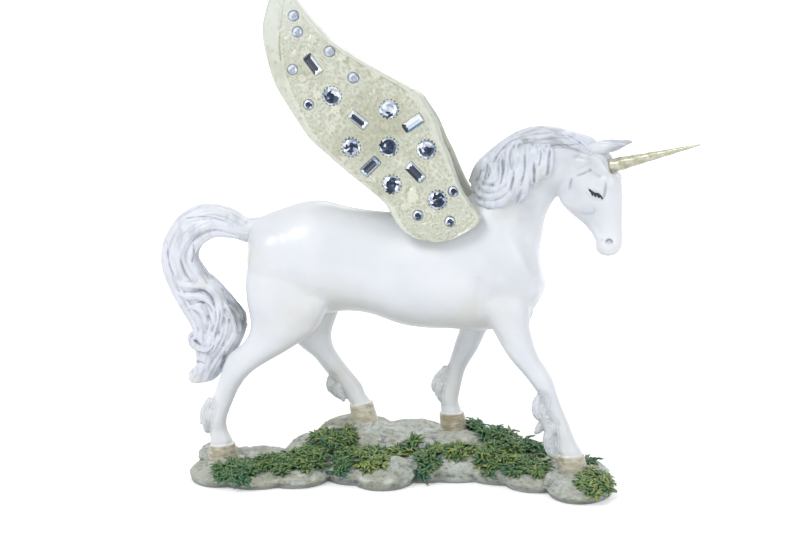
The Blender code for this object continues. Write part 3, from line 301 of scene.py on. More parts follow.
# Locks of the mane that fall from the crest, from front to back: paths of x, z that lie on the neck.
MANE_FALL = [
    [(53.4, 121.0), (53.8, 118.5), (53.6, 116.0), (53.4, 113.6), (52.9, 111.4), (51.8, 109.8)],
    [(50.6, 121.2), (51.4, 118.6), (51.4, 116.2), (51.0, 113.6), (50.2, 111.2), (49.2, 109.6)],
    [(48.2, 121.4), (49.0, 118.6), (49.2, 115.6), (48.6, 112.6), (48.0, 110.0), (47.4, 108.0)],
    [(46.0, 121.8), (46.6, 118.4), (46.8, 114.6), (46.0, 110.8), (45.0, 107.4), (43.6, 104.8)],
    [(44.2, 122.2), (44.6, 118.0), (44.6, 113.6), (43.6, 109.4), (42.2, 105.4), (40.6, 102.8)],
    [(42.8, 122.8), (42.4, 118.0), (42.6, 113.2), (41.4, 108.2), (39.6, 104.0), (36.4, 101.2)],
    [(41.2, 122.6), (39.8, 117.6), (40.4, 112.6), (39.0, 107.4), (36.4, 103.2), (32.4, 100.2)],
    [(39.6, 121.4), (37.2, 116.6), (37.8, 112.0), (36.2, 107.2), (33.2, 103.4), (29.6, 100.8)],
    [(37.4, 120.4), (34.6, 115.8), (34.6, 111.4), (32.8, 107.0), (30.2, 104.0), (27.6, 102.0)],
    [(35.0, 118.8), (32.0, 114.6), (31.4, 110.6), (29.8, 107.0), (28.2, 105.0), (26.6, 103.6)],
    [(32.6, 116.8), (29.8, 113.0), (28.8, 109.8), (27.8, 107.2), (27.0, 105.6), (26.0, 104.6)],
]
# Locks that run back along the crest, from low to high.
MANE_BAND = [
    [(69.0, 118.6), (64.0, 120.6), (58.6, 121.8), (53.0, 122.0), (48.0, 122.2), (44.2, 122.6)],
    [(69.6, 120.0), (64.4, 122.0), (59.0, 123.2), (53.0, 123.6), (47.6, 123.6), (42.6, 122.4)],
    [(69.8, 121.2), (65.0, 122.8), (59.4, 124.2), (53.0, 124.8), (46.8, 124.4), (41.0, 122.6)],
]

def both_ways(tuft):
    """A lock outwards of the leg's middle, and the same lock inwards."""
    return [tuft, [(x, z, radius, -out) for x, z, radius, out in tuft]]


# Tufts behind the fetlocks: x, z, radius, and how far out from the leg's middle.
TUFTS = {
    "near_hind": [
        [(-67.6, 27.0, 1.6, 0.0), (-69.8, 22.6, 1.9, 0.0), (-70.9, 18.8, 1.2, 0.0), (-71.9, 17.2, 0.5, 0.0)],
        [(-66.6, 25.0, 1.6, 0.0), (-68.4, 20.6, 2.0, 0.0), (-68.8, 16.4, 1.4, 0.0), (-69.6, 13.8, 0.6, 0.0)],
        *both_ways([(-67.4, 23.0, 1.6, 1.6), (-69.2, 18.4, 1.6, 1.8), (-69.4, 14.4, 0.7, 1.6)]),
    ],
    "far_hind": [
        [(-26.2, 31.6, 1.6, 0.0), (-27.2, 28.6, 1.9, 0.0), (-26.8, 25.6, 1.4, 0.0), (-24.2, 22.8, 0.6, 0.0)],
        *both_ways([(-24.4, 28.6, 1.6, 1.6), (-24.0, 25.2, 1.5, 1.8), (-21.6, 21.8, 0.7, 1.6)]),
        [(-26.0, 30.4, 1.4, 0.0), (-25.0, 27.0, 1.8, 0.0), (-22.6, 23.4, 1.2, 0.0)],
    ],
    "near_fore": [
        [(52.6, 33.0, 1.6, 0.0), (50.8, 28.8, 2.0, 0.0), (50.8, 25.4, 1.8, 0.0), (52.6, 22.2, 0.9, 0.0)],
        [(54.0, 31.6, 1.5, 0.0), (53.0, 27.0, 2.2, 0.0), (54.0, 22.6, 2.2, 0.0), (54.4, 18.6, 1.4, 0.0)],
        [(56.8, 21.6, 1.6, 0.0), (57.0, 17.0, 2.2, 0.0), (57.2, 13.0, 2.0, 0.0), (58.4, 10.0, 1.2, 0.0)],
        [(55.2, 25.2, 1.7, 1.4), (52.6, 21.0, 2.0, 1.6), (50.6, 18.2, 1.2, 1.4), (49.6, 17.4, 0.5, 1.2)],
        [(57.2, 22.4, 1.8, -1.2), (55.4, 18.4, 2.1, -1.4), (55.0, 14.6, 2.0, -1.2), (56.2, 11.0, 1.7, -1.0),
         (58.6, 8.6, 0.9, -0.8)],
    ],
    "far_fore": [
        [(16.0, 36.0, 1.5, 0.0), (12.9, 31.4, 1.9, 0.0), (11.5, 28.4, 1.5, 0.0), (12.3, 25.2, 0.7, 0.0)],
        [(15.6, 34.0, 1.4, 0.0), (14.0, 29.6, 1.9, 0.0), (13.4, 25.6, 1.5, 0.0), (13.8, 22.6, 0.8, 0.0)],
        *both_ways([(14.9, 30.8, 1.5, 1.5), (13.2, 27.0, 1.5, 1.7), (13.4, 23.4, 0.7, 1.5)]),
    ],
}
# Each leg: name, table and side
LEGS = [("near_hind", NEAR_HIND, -1), ("far_hind", FAR_HIND, 1),
        ("near_fore", NEAR_FORE, -1), ("far_fore", FAR_FORE, 1)]

# Stifle, haunch, shoulder, forearm and chest: middle x, y, z, half sizes, tilt about Y in degrees.
MUSCLES = [
    (-31.5, 10.5, 62.0, 6.0, 5.6, 9.0, 24.0),
    (-43.0, 9.0, 79.0, 11.0, 7.6, 12.0, 20.0),
    (37.0, 8.6, 79.0, 8.0, 6.0, 14.0, -28.0),
    (41.5, 9.8, 60.5, 6.4, 6.0, 8.6, -8.0),
    (47.0, 5.6, 69.8, 4.4, 6.0, 5.6, 0.0),
]

# An ear from its root to its tip: x, y, z, radius, before the head turns.
EAR = [(66.4, 2.2, 119.4, 1.5), (70.2, 2.9, 120.4, 2.0), (74.0, 3.6, 121.1, 2.1), (77.4, 3.8, 121.4, 1.7),
       (80.2, 3.9, 122.2, 1.1), (82.4, 3.9, 122.8, 0.4)]
# The brow ridge, the cheek and the nostril's wing: middle and half sizes, before the head turns.
FACE_LUMPS = [((75.8, 4.0, 108.8), (3.2, 2.2, 3.4)), ((63.2, 3.8, 103.8), (5.6, 2.8, 6.0)),
              ((77.6, 2.6, 87.4), (2.0, 1.6, 2.2))]
CHIN = ((72.6, 0.0, 84.6), (2.4, 2.6, 2.2))
# A lock that falls over the forehead: x, how far to the side, z, radius; then each one's side and low end.
FORELOCK = [(66.0, 1.5, 119.8, 1.7), (71.4, 2.4, 118.9, 2.0), (75.0, 3.2, 116.6, 1.5)]
FORELOCK_TIP = (76.4, 3.2, 0.7)
FORELOCKS = [(-1, 112.4), (0, 116.4), (1, 112.4)]
# The crest of the mane: x, z, radius.
CREST = [(26.8, 106.0, 2.6), (29.6, 111.6, 3.2), (34.0, 116.0, 3.2), (38.8, 119.8, 3.3), (43.6, 122.7, 3.3),
         (48.0, 124.1, 3.3), (53.0, 124.3, 3.3), (57.6, 123.6, 3.2), (61.8, 121.3, 2.9), (66.2, 118.7, 2.4),
         (70.0, 117.2, 1.7)]

# Rocks of the base: middle x, y, half sizes in x and y, and height.
ROCKS = [
    (-62.5, -17.0, 12.2, 17.0, 5.4), (-50.0, -20.0, 15.0, 15.0, 5.2), (-66.6, -4.0, 7.6, 10.0, 8.4),
    (-52.0, 3.0, 13.0, 9.5, 4.6), (-36.0, -17.0, 13.5, 15.0, 6.6), (-31.0, 6.0, 12.0, 17.0, 8.8),
    (-17.0, 12.5, 16.4, 17.5, 15.6), (-15.0, -13.0, 11.0, 12.0, 8.6), (-4.0, -16.0, 12.0, 14.8, 8.2),
    (-7.0, -1.0, 12.0, 10.0, 9.0), (3.0, 12.5, 17.0, 17.0, 14.0), (20.0, 12.0, 17.0, 15.0, 13.8),
    (20.0, -6.0, 15.0, 11.6, 10.2), (10.0, -10.0, 10.0, 9.0, 8.6),
    (38.0, 6.0, 14.0, 15.0, 9.4), (38.0, -7.0, 14.0, 11.6, 7.6), (51.0, -12.0, 13.0, 14.6, 5.8),
    (53.0, 7.0, 13.0, 12.0, 6.6), (66.8, -20.4, 12.4, 17.8, 5.4), (64.0, -3.0, 13.0, 12.0, 5.0),
]
# A rock is widest at this share of its height. The foot below it has these shares of its half sizes.
ROCK_SUNK = 0.45
ROCK_FOOT = (0.93, 0.93, 1.3)

# Clumps of grass: middle x, y, z, half sizes.
CLUMPS = [
    (-54.0, -24.0, 3.0, 8.0, 5.0, 3.2), (-43.0, -20.0, 4.6, 9.0, 6.0, 3.4),
    (-30.0, -14.0, 6.4, 9.0, 6.0, 4.0),
    (-25.0, -3.0, 10.4, 8.0, 5.0, 3.4), (-14.0, -16.0, 7.0, 9.0, 6.0, 3.6), (0.0, -16.0, 6.4, 7.0, 4.6, 3.4),
    (26.0, -9.0, 8.2, 9.0, 5.0, 3.4), (34.0, 12.0, 10.0, 8.0, 6.0, 3.2), (38.0, -1.0, 8.4, 9.0, 6.0, 3.2),
    (40.0, -12.0, 5.6, 9.0, 6.0, 3.6), (47.0, 8.0, 7.4, 7.0, 6.0, 3.0), (52.0, -19.0, 4.2, 8.0, 6.0, 3.2),
    (72.0, -12.0, 4.0, 5.0, 7.0, 3.0),
]

# The wing outline by height: z, trailing edge x, leading edge x, and the two rims' widths.
WING = [
    (88.4, 12.5, 17.0, 0.6, 0.6), (89.4, 7.8, 21.0, 1.2, 1.0), (91.2, 4.0, 25.0, 1.5, 1.3),
    (94.2, 1.0, 29.2, 1.6, 1.4), (97.4, -0.9, 30.4, 1.6, 1.4), (101.6, -3.6, 27.2, 1.7, 1.4),
    (106.2, -9.0, 23.9, 1.8, 1.4), (112.8, -17.6, 21.1, 1.9, 1.5), (118.6, -24.5, 19.0, 2.1, 2.0),
    (123.6, -30.2, 16.7, 2.4, 2.6), (130.0, -34.9, 14.4, 2.9, 3.1), (135.4, -38.5, 11.3, 3.6, 3.3),
    (140.6, -41.9, 7.4, 4.4, 3.3), (146.2, -44.4, -2.6, 5.0, 3.0), (152.3, -46.3, -14.0, 5.4, 2.6),
    (158.0, -47.6, -22.9, 5.5, 2.3), (162.4, -47.8, -27.5, 5.2, 2.0), (167.3, -46.9, -32.0, 4.2, 1.7),
    (171.6, -45.8, -35.6, 3.2, 1.4), (176.0, -44.7, -39.1, 1.8, 1.0), (180.2, -43.0, -42.0, 0.4, 0.4),
]

# The gems of one wing: x, z, and for a baguette the tilt of its long side in degrees.
ROUND_GEMS = [(-22.2, 138.8), (-2.2, 134.4), (-15.3, 121.1), (-2.0, 121.4), (11.1, 120.6), (-0.8, 108.4),
              (15.3, 103.2)]
SMALL_GEMS = [(-36.5, 166.2), (-35.0, 160.7), (-23.6, 154.0), (-36.4, 147.7), (-15.0, 145.1), (-30.5, 135.7),
              (20.7, 106.1), (8.6, 97.8), (19.8, 95.8)]
BAGUETTES = [(-29.1, 149.5, -52.0), (-12.9, 130.7, -38.0), (6.2, 129.7, 35.0), (-8.4, 114.5, 45.0),
             (7.4, 112.7, -45.0)]

# Mesh fineness: voxel size and rounds of smoothing, and the most triangles a piece keeps
FLESH_SKIN = (0.6, 24)
BODY_SKIN = (0.4, 3)
HAIR_SKIN = (0.3, 2)
ROCK_SKIN = (0.6, 4)
LEG_SIDES = 32
HOOF_SIDES = 48
MOST_TRIANGLES = {"horse_body": 180000, "mane": 120000, "tail": 120000, "base_rock": 90000}

# Carved lines of the face before the head turns: x, z points, width, depth, and how dark they are painted:
# painted shade in the creases, and the nostril's grey paint.
FACE_LINES = [
    ([(68.6, 107.6), (70.1, 106.5), (71.5, 105.9), (72.8, 105.7), (74.0, 104.6)], 0.4, 0.35, 0.2),
    ([(68.4, 105.6), (70.4, 103.6), (72.8, 102.6), (74.4, 102.6)], 0.5, 0.2, 0.12),
    ([(75.6, 109.6), (75.4, 107.2), (75.0, 104.7), (74.0, 102.5)], 0.5, 0.6, 0.5),
    ([(64.8, 110.8), (67.0, 111.7), (69.6, 113.0)], 0.45, 0.5, 0.5),
    ([(63.2, 110.0), (62.6, 108.4), (62.4, 105.4)], 0.5, 0.45, 0.4),
    ([(71.2, 100.4), (71.4, 98.8), (70.6, 97.6), (68.0, 97.2), (65.2, 97.2)], 0.6, 0.28, 0.2),
    ([(62.8, 117.4), (66.6, 117.8), (70.4, 116.8)], 0.7, 0.3, 0.3),
    ([(70.4, 112.8), (72.2, 111.6), (74.2, 110.8)], 0.6, 0.25, 0.22),
    ([(64.6, 113.0), (67.6, 114.6), (70.6, 116.2)], 0.8, 0.3, 0.15),
    ([(79.2, 85.6), (76.6, 84.4), (73.6, 84.4), (71.8, 85.0)], 0.35, 0.1, 0.05),
    ([(69.6, 96.0), (72.4, 91.6), (74.2, 89.4)], 1.2, 0.25, 0.0),
    ([(75.4, 87.0), (75.6, 88.0), (76.6, 88.5), (77.5, 87.9), (77.3, 87.1)], 0.45, 0.5, 0.95),
]
# Small dark places of the face, painted shade in small hollows and the nostril's grey paint: x, z, radius,
# depth and darkness.
FACE_SPOTS = [(76.5, 87.5, 0.9, 0.25, 0.35), (69.8, 113.2, 0.5, 0.3, 0.8), (73.8, 88.2, 0.35, 0.1, 0.3)]

# The face is where x and z are beyond these, and the points this far from the head's middle plane.
FACE_FROM = (56.0, 80.0, 1.2)
# The lid bulges over the eye: place, radius and height.
EYE_DOME = ((71.6, 106.6), 2.7, 0.7)
# The ears lie beyond this x and z, and are hollow outside this far from the middle: width and depth.
EARS_FROM = (73.0, 117.0)
EAR_HOLLOW_OUT = (3.4, 4.4)
EAR_HOLLOW_SIZE = (0.7, 0.9)
# The body's lines show only this far from the middle plane.
BODY_LINES_OUT = 6.0
# Rings of the hooves: height and spacing, and how far the whole hoof stands out.
HOOF_RINGS = (0.03, 0.9, 0.1)
# The forehead is flattened this deep round the horn's root: radius, and place along the horn.
HORN_SEAT_FLAT = (4.4, -0.7)
HORN_SEAT_SOFT = 1.3
# The carved forelock is slimmer than its plain form, and further back.
FORELOCK_SLIM = 0.62
FORELOCK_BACK = 0.9
# The ear's hollow, the lashes' root line and their tips, before the head turns: x, z.
EAR_HOLLOW = [(74.6, 119.4), (77.0, 120.0), (79.6, 121.2), (81.4, 122.0)]
LASH_LINE = [(69.9, 106.7), (70.9, 105.7), (71.9, 105.1), (73.0, 104.9), (74.0, 104.1)]
LASH_TIPS = [(70.8, 105.4), (71.3, 104.3), (72.3, 103.9), (73.4, 103.6), (74.4, 103.2)]

# Carved lines of the body on both sides: x, z points, width, depth.
BODY_LINES = [
    ([(30.2, 76.0), (29.4, 68.6), (28.9, 61.0), (28.4, 56.0)], 1.5, 0.5),
    ([(45.0, 90.0), (47.6, 82.0), (49.4, 75.6)], 1.6, 0.35),
    ([(-26.0, 70.0), (-28.4, 62.0), (-33.0, 54.4)], 2.0, 0.4),
    ([(-45.4, 58.0), (-49.0, 50.0), (-57.0, 43.0)], 1.6, 0.3),
    ([(33.6, 57.0), (40.0, 51.0), (46.6, 46.4)], 1.4, 0.25),
]

# Cream washes of paint: x, z, radius and strength.
CREAM = [(-33.0, 60.0, 12.0, 0.5), (-22.0, 64.0, 9.0, 0.35), (28.0, 62.0, 9.0, 0.5), (36.0, 64.0, 8.0, 0.35),
         (-53.0, 81.0, 6.0, 0.5), (40.0, 99.0, 5.0, 0.6), (-66.0, 17.0, 8.0, 0.35), (60.0, 18.0, 8.0, 0.35),
         (-22.0, 30.0, 9.0, 0.55), (18.0, 30.0, 10.0, 0.55), (70.0, 117.0, 3.0, 0.3)]
# Painted shade: grey patches under the mane, on the neck, face, brow, ears and chest, and below the tail
# root: x, z, radius and strength.
PAINTED_SHADE_PATCHES = [(70.0, 111.0, 6.0, 0.3), (50.0, 110.0, 9.0, 0.9), (46.0, 102.0, 8.0, 0.8), (44.0, 96.0, 5.0, 0.5),
        (38.0, 99.4, 5.0, 0.5), (58.0, 117.0, 7.0, 0.7), (66.0, 116.0, 7.0, 0.7), (79.0, 121.4, 7.0, 1.25),
        (72.0, 112.0, 4.0, 0.4), (61.0, 106.0, 6.0, 0.5), (36.0, 75.0, 8.0, 0.35), (68.0, 97.0, 5.0, 0.35),
        (-57.0, 84.0, 4.0, 0.5)]

# Shares of the drawn width and depth that the gaps between locks keep
GAP_NARROW = 0.75
GAP_SHALLOW = 0.8
# Fine strokes beside the crest: how many, and the crest's row where they begin
CREST_STROKES = 26
CREST_STROKES_FROM = 2
# Gaps between the locks of the mane: x, z points, width and depth.
MANE_GAPS = [
    ([(53.9, 121.0), (53.9, 117.9), (53.7, 114.3), (53.1, 110.7)], 0.6, 1.3),
    ([(50.5, 120.3), (50.7, 117.5), (50.2, 114.6)], 0.4, 0.8),
    ([(48.4, 116.0), (48.6, 111.7), (48.5, 108.4)], 0.5, 1.1),
    ([(36.9, 117.2), (37.5, 112.4), (36.6, 107.6)], 0.5, 1.0),
    ([(41.4, 113.0), (41.0, 109.2), (40.2, 105.8)], 0.5, 1.0),
    ([(31.7, 114.4), (31.3, 110.8), (30.5, 107.8)], 0.45, 0.9),
    ([(29.4, 112.0), (28.4, 109.3), (27.3, 107.4)], 0.45, 0.9),
    ([(40.1, 120.0), (39.7, 116.7), (40.6, 113.0)], 0.45, 0.8),
    ([(45.0, 118.6), (45.2, 113.4), (44.0, 107.6)], 0.4, 0.6),
    ([(53.6, 121.3), (57.4, 121.5), (60.9, 121.8), (64.8, 122.4)], 0.45, 1.0),
    ([(44.5, 122.8), (50.4, 123.6), (57.4, 124.2), (62.7, 123.7)], 0.4, 0.6),
    ([(43.0, 123.4), (39.4, 122.0), (36.0, 118.6), (33.8, 114.6)], 0.4, 0.7),
]
# White locks that curl along the low edge of the mane: x, z, radius.
MANE_CURLS = [
    [(43.6, 117.0, 0.6), (42.9, 111.6, 1.1), (42.1, 107.6, 1.4), (40.4, 103.8, 1.5), (36.8, 101.3, 1.5),
     (32.3, 100.4, 1.3), (28.7, 101.0, 0.9), (26.8, 102.6, 0.4)],
    [(41.0, 112.4, 0.5), (40.0, 107.8, 1.0), (37.6, 104.8, 1.2), (33.4, 103.2, 1.2), (29.4, 103.6, 1.0),
     (27.0, 105.4, 0.4)],
    [(38.6, 112.4, 0.5), (37.8, 108.4, 0.9), (35.2, 106.1, 1.1), (31.2, 105.8, 1.0), (28.4, 107.4, 0.5)],
    [(35.6, 112.0, 0.5), (34.6, 109.2, 0.9), (31.8, 108.2, 0.9), (29.0, 109.6, 0.4)],
    [(46.2, 116.0, 0.6), (46.0, 110.4, 1.1), (45.3, 105.8, 1.2), (43.8, 102.4, 0.9), (42.2, 100.4, 0.4)],
    [(49.8, 118.0, 0.6), (49.9, 113.4, 1.1), (49.4, 109.6, 1.1), (48.6, 106.8, 0.5)],
    [(52.4, 120.0, 0.7), (52.6, 115.6, 1.2), (52.2, 112.0, 1.2), (51.0, 109.6, 0.5)],
]
# The tufts behind the fetlocks: how far one reaches, its strands' spacing and depth.
TUFT_REACH = 9.0
TUFT_STRAND = 0.95
TUFT_DEPTH = 0.24
# The back locks' fine strands stop after this many points, where the curls begin.
STRANDS_ABOVE = 4
CURLS_BEHIND = 45.0
# Shadowed hair: x, z, radius and strength.
MANE_SHADOWS = [(44.0, 126.0, 8.0, 0.22), (54.0, 131.0, 8.0, 0.22), (34.0, 118.0, 7.0, 0.14),
                (26.6, 109.0, 4.0, 0.9), (28.4, 104.0, 2.2, 0.5), (43.8, 123.4, 1.6, 0.5),
                (44.6, 101.0, 1.6, 0.5)]
TAIL_SHADOWS = [(-62.0, 64.6, 2.2, 0.7), (-59.0, 60.0, 2.4, 0.9), (-56.6, 55.0, 2.4, 0.9),
                (-56.0, 51.0, 2.0, 0.8), (-71.0, 72.6, 1.8, 0.5), (-63.4, 42.0, 1.4, 0.6)]

# Gaps between the locks of the tail: x, z points, width and depth.
TAIL_GAPS = [
    ([(-69.4, 71.6), (-66.9, 69.0), (-63.7, 65.2), (-60.1, 60.5), (-58.2, 55.6), (-58.0, 50.3)], 0.9, 2.0),
    ([(-60.8, 64.2), (-57.9, 59.9), (-56.4, 55.9), (-56.4, 51.8)], 0.5, 1.6),
    ([(-68.6, 57.8), (-67.7, 55.8), (-67.3, 54.0)], 0.5, 1.0),
    ([(-64.0, 60.2), (-64.2, 55.9), (-65.6, 51.0), (-66.6, 47.4)], 0.5, 0.8),
    ([(-61.1, 56.2), (-61.9, 50.7), (-63.8, 45.8)], 0.5, 0.8),
    ([(-77.8, 65.8), (-74.5, 66.0), (-70.8, 66.2), (-67.9, 64.3), (-66.0, 60.6)], 0.4, 0.6),
    ([(-73.8, 61.9), (-70.5, 62.3), (-68.0, 60.9), (-66.9, 58.7)], 0.45, 0.7),
    ([(-75.2, 47.3), (-73.6, 46.9), (-71.7, 46.2)], 0.45, 1.0),
    ([(-73.0, 43.6), (-69.4, 43.4), (-67.3, 45.0), (-66.5, 47.6)], 0.5, 1.0),
    ([(-62.6, 44.2), (-63.7, 40.0), (-65.3, 36.6)], 0.5, 0.8),
    ([(-74.9, 76.2), (-74.0, 79.4), (-74.4, 83.4)], 0.5, 0.7),
    ([(-72.4, 74.6), (-70.6, 71.4), (-68.8, 68.8)], 0.6, 0.8),
    ([(-79.2, 78.9), (-77.3, 72.6), (-74.6, 69.4)], 0.4, 0.6),
    ([(-84.0, 84.0), (-83.4, 76.0), (-80.6, 69.4)], 0.4, 0.5),
    ([(-78.6, 92.0), (-70.0, 93.0), (-62.0, 91.4)], 0.4, 0.5),
    ([(-76.4, 35.8), (-74.8, 38.1), (-72.6, 39.7), (-70.0, 39.0)], 0.45, 0.7),
]
# Locks that cross the tail: x, z, radius.
TAIL_SWEEPS = [
    [(-80.6, 69.6, 0.6), (-77.2, 68.2, 1.3), (-73.4, 68.4, 1.5), (-69.2, 67.6, 1.6), (-66.0, 64.6, 1.6),
     (-64.6, 60.4, 1.5), (-64.6, 56.0, 1.3), (-66.0, 51.6, 0.9), (-67.6, 48.6, 0.4)],
    [(-80.4, 65.0, 0.5), (-76.6, 64.0, 1.1), (-72.4, 64.4, 1.3), (-69.0, 62.8, 1.3), (-67.2, 59.4, 1.2),
     (-67.2, 55.4, 1.0), (-68.6, 51.2, 0.5)],
    [(-77.0, 59.4, 0.5), (-73.6, 60.2, 1.0), (-70.8, 58.8, 1.2), (-69.8, 55.4, 1.1), (-70.6, 51.4, 0.8),
     (-72.4, 49.0, 0.4)],
    [(-66.0, 50.2, 0.5), (-66.2, 46.8, 1.0), (-68.6, 44.6, 1.3), (-72.2, 44.8, 1.3), (-75.6, 46.2, 1.1),
     (-76.6, 48.2, 0.8), (-75.2, 49.6, 0.5), (-73.6, 48.8, 0.3)],
]

# Grass: middle x, y, half sizes, and how yellow its tips are.
GRASS = [
    (-58.0, -27.0, 5.0, 5.5, 0.2), (-53.0, -31.0, 3.5, 4.0, 0.2), (-52.0, -20.0, 7.0, 7.0, 0.4),
    (-44.0, -17.0, 7.0, 7.0, 0.5), (-36.0, -12.0, 6.5, 8.0, 0.5), (-38.0, -24.0, 3.5, 4.5, 0.4),
    (-30.0, -17.0, 5.5, 8.0, 0.5), (-28.5, -4.0, 5.5, 5.5, 0.5), (-22.5, -0.5, 5.5, 4.5, 0.9),
    (-20.5, -6.0, 6.0, 6.0, 0.7), (-18.8, -17.0, 3.0, 7.0, 0.2), (-13.0, -13.0, 5.0, 6.0, 0.9),
    (-8.0, -19.0, 4.5, 5.5, 0.9), (-5.0, -9.0, 6.0, 4.5, 0.6), (3.5, -4.5, 4.5, 4.0, 0.7),
    (11.5, -15.0, 3.2, 8.0, 0.3), (17.0, -8.0, 6.5, 4.0, 0.8), (26.0, -8.0, 6.0, 4.0, 0.8),
    (36.0, -9.0, 6.5, 8.5, 0.7), (44.0, -9.0, 6.5, 9.5, 0.6), (50.0, -13.0, 4.5, 8.5, 0.4),
    (29.0, 12.0, 7.0, 5.0, 0.2), (37.0, 9.0, 7.0, 6.0, 0.35), (45.0, 5.0, 7.0, 6.0, 0.2),
    (72.0, -25.0, 5.5, 11.0, 0.7), (69.0, 1.0, 3.0, 3.0, 0.1),
]
# Blades: how many for each square millimetre, their length and width, and how many grow from one root
BLADES_PER_MM2 = 1.9
BLADE_LENGTH = (2.8, 4.8)
BLADE_WIDTH = 0.95
BLADES_IN_TUFT = 6
# The rock is painted dark green round a patch of grass, its own paint and painted shade under the blades, as
# far as this share of its size.
GRASS_DARK_REACH = 1.1
# Roots are found by rays towards this height, from above or slanting; none nearer to a hoof than this
GRASS_AIM = 3.0
GRASS_FROM_HOOF = 6.2
GRASS_RAYS = [(0.0, 0.0, -1.0), (0.0, 0.6, -0.8)]

# Paints, and colours of painted light and shade, as linear red, green and blue
WHITE = (0.82, 0.84, 0.865)
CREAM_WASH = (0.72, 0.695, 0.6)
LILAC = (0.67, 0.7, 0.755)
SHADE = (0.5, 0.53, 0.57)
LINE_DARK_AND_SHADE = (0.12, 0.13, 0.16)
MANE_PALE = (0.67, 0.705, 0.745)
TAIL_PALE = (0.73, 0.755, 0.79)
HAIR_SHADOW = (0.3, 0.31, 0.29)
HAIR_HOLLOW_SHADE = (0.35, 0.38, 0.44)
GAP_SHADE = (0.17, 0.18, 0.19)
HOOF_PALE = (0.66, 0.62, 0.5)
HOOF_DARK = (0.33, 0.28, 0.18)
# How dark each hoof is, as a share of the way between its two paints
HOOF_SHADES = {"near_hind": 0.5, "far_hind": 0.3, "near_fore": 0.2, "far_fore": 0.8}
ROCK_PALE = (0.5, 0.53, 0.48)
ROCK_WARM = (0.4, 0.4, 0.3)
ROCK_BRUSHED = (0.66, 0.68, 0.66)
ROCK_DARK_AND_SHADE = (0.13, 0.15, 0.17)
GRASS_DARK_AND_SHADE = (0.006, 0.028, 0.024)
GRASS_SHADE_BLUE = (0.025, 0.14, 0.11)
GRASS_GREEN = (0.055, 0.18, 0.065)
GRASS_YELLOW = (0.42, 0.47, 0.1)
PEARL_PALE = (0.64, 0.665, 0.59)
PEARL_FIELD = (0.58, 0.6, 0.51)
PEARL_TIP = (0.7, 0.73, 0.69)
PEARL_HIGHLIGHT = (0.86, 0.85, 0.72)
PEARL_STAIN_AND_SHADE = (0.33, 0.34, 0.22)
# How much painted highlight the wings' fine beads have
BEADS_HIGHLIGHT = 0.5
GOLD_PALE = (0.6, 0.6, 0.49)
GOLD_DEEP_AND_SHADE = (0.42, 0.41, 0.29)
# The stones' colours are painted reflections: white glints, pale, blue and navy reflections of the
# foil-backed facets, over a lilac tint
WHITE_REFLECTION = (0.88, 0.92, 0.98)
PALE_REFLECTION = (0.6, 0.68, 0.82)
STONE_LILAC = (0.33, 0.38, 0.5)
STONE_SHADE = (0.3, 0.37, 0.5)
DARK_REFLECTION = (0.018, 0.028, 0.06)
BLUE_REFLECTION = (0.16, 0.36, 0.62)
LASH_INK = (0.006, 0.007, 0.012)
PLAIN = (1.0, 1.0, 1.0)
# Scale of the broad noise that stains the paint and varies its sheen
BROAD_NOISE = 140.0


def mixed(a, b, share):
    """Colours between two, for an array of shares."""
    share = np.clip(np.asarray(share, dtype=float), 0.0, 1.0)[..., None]
    return np.asarray(a) * (1 - share) + np.asarray(b) * share


def smooth_step(values, low, high):
    """0 below low, 1 above high, and a smooth rise between."""
    t = np.clip((values - low) / (high - low), 0.0, 1.0)
    return t * t * (3 - 2 * t)


def layered(colours, layers):
    """Colours with paints over them: tone, strength, and values with the low and high end of their rise."""
    for tone, strength, values, low, high in layers:
        colours = mixed(colours, tone, strength * smooth_step(values, low, high))
    return colours


def bell(gap, width):
    """1 in the middle, fading softly to 0 beyond a width."""
    return np.exp(-(gap / width) ** 2)


def around(sides, spin=0.0):
    """Cosine and sine at even steps round a circle."""
    return [(cos(2 * pi * i / sides + spin), sin(2 * pi * i / sides + spin)) for i in range(sides)]


def smooth_rows(rows, steps):
    """Rows read from a smooth curve through the given rows."""
    rows = [np.array(row, dtype=float) for row in rows]
    ends = [2 * rows[0] - rows[1]] + rows + [2 * rows[-1] - rows[-2]]
    out = []
    for a, b, c, d in zip(ends, ends[1:], ends[2:], ends[3:]):
        for i in range(steps):
            t = i / steps
            out.append(0.5 * (2 * b + (c - a) * t + (2 * a - 5 * b + 4 * c - d) * t * t
                              + (3 * b - a - 3 * c + d) * t ** 3))
    out.append(rows[-1])
    return out


def skin(form, rings):
    """Adds to a bmesh the closed skin over rings of points, in millimetres."""
    made = [[form.verts.new(Vector(p) * MM) for p in ring] for ring in rings]
    count = len(rings[0])
    faces = []
    for low, high in zip(made, made[1:]):
        for i in range(count):
            j = (i + 1) % count
            faces.append(form.faces.new((low[i], low[j], high[j], high[i])))
    faces.append(form.faces.new(made[0][::-1]))
    faces.append(form.faces.new(made[-1]))
    bmesh.ops.recalc_face_normals(form, faces=faces)


def cut_form(form, rows, steps=8, sides=56, turn=None):
    """Skins a form from cuts: top x, z, bottom x, z, half width, low fullness."""
    rings = []
    for row in smooth_rows(rows, steps):
        top, bottom, half, full = row[0:2], row[2:4], row[4], row[5]
        ring = []
        for up, out in around(sides):
            x, z = (top + bottom) / 2 + up * (top - bottom) / 2
            point = Vector((x, out * half * (1 - full * up), z))
            ring.append(turn @ point if turn else point)
        rings.append(ring)
    skin(form, rings)


def lump(form, middle, halves, tilt=0.0, detail=4):
    """Adds an ellipsoid, tilted about Y."""
    place = (Matrix.Translation(Vector(middle) * MM) @ Matrix.Rotation(radians(tilt), 4, "Y")
             @ Matrix.Diagonal((*(h * MM for h in halves), 1.0)))
    bmesh.ops.create_icosphere(form, subdivisions=detail, radius=1.0, matrix=place)


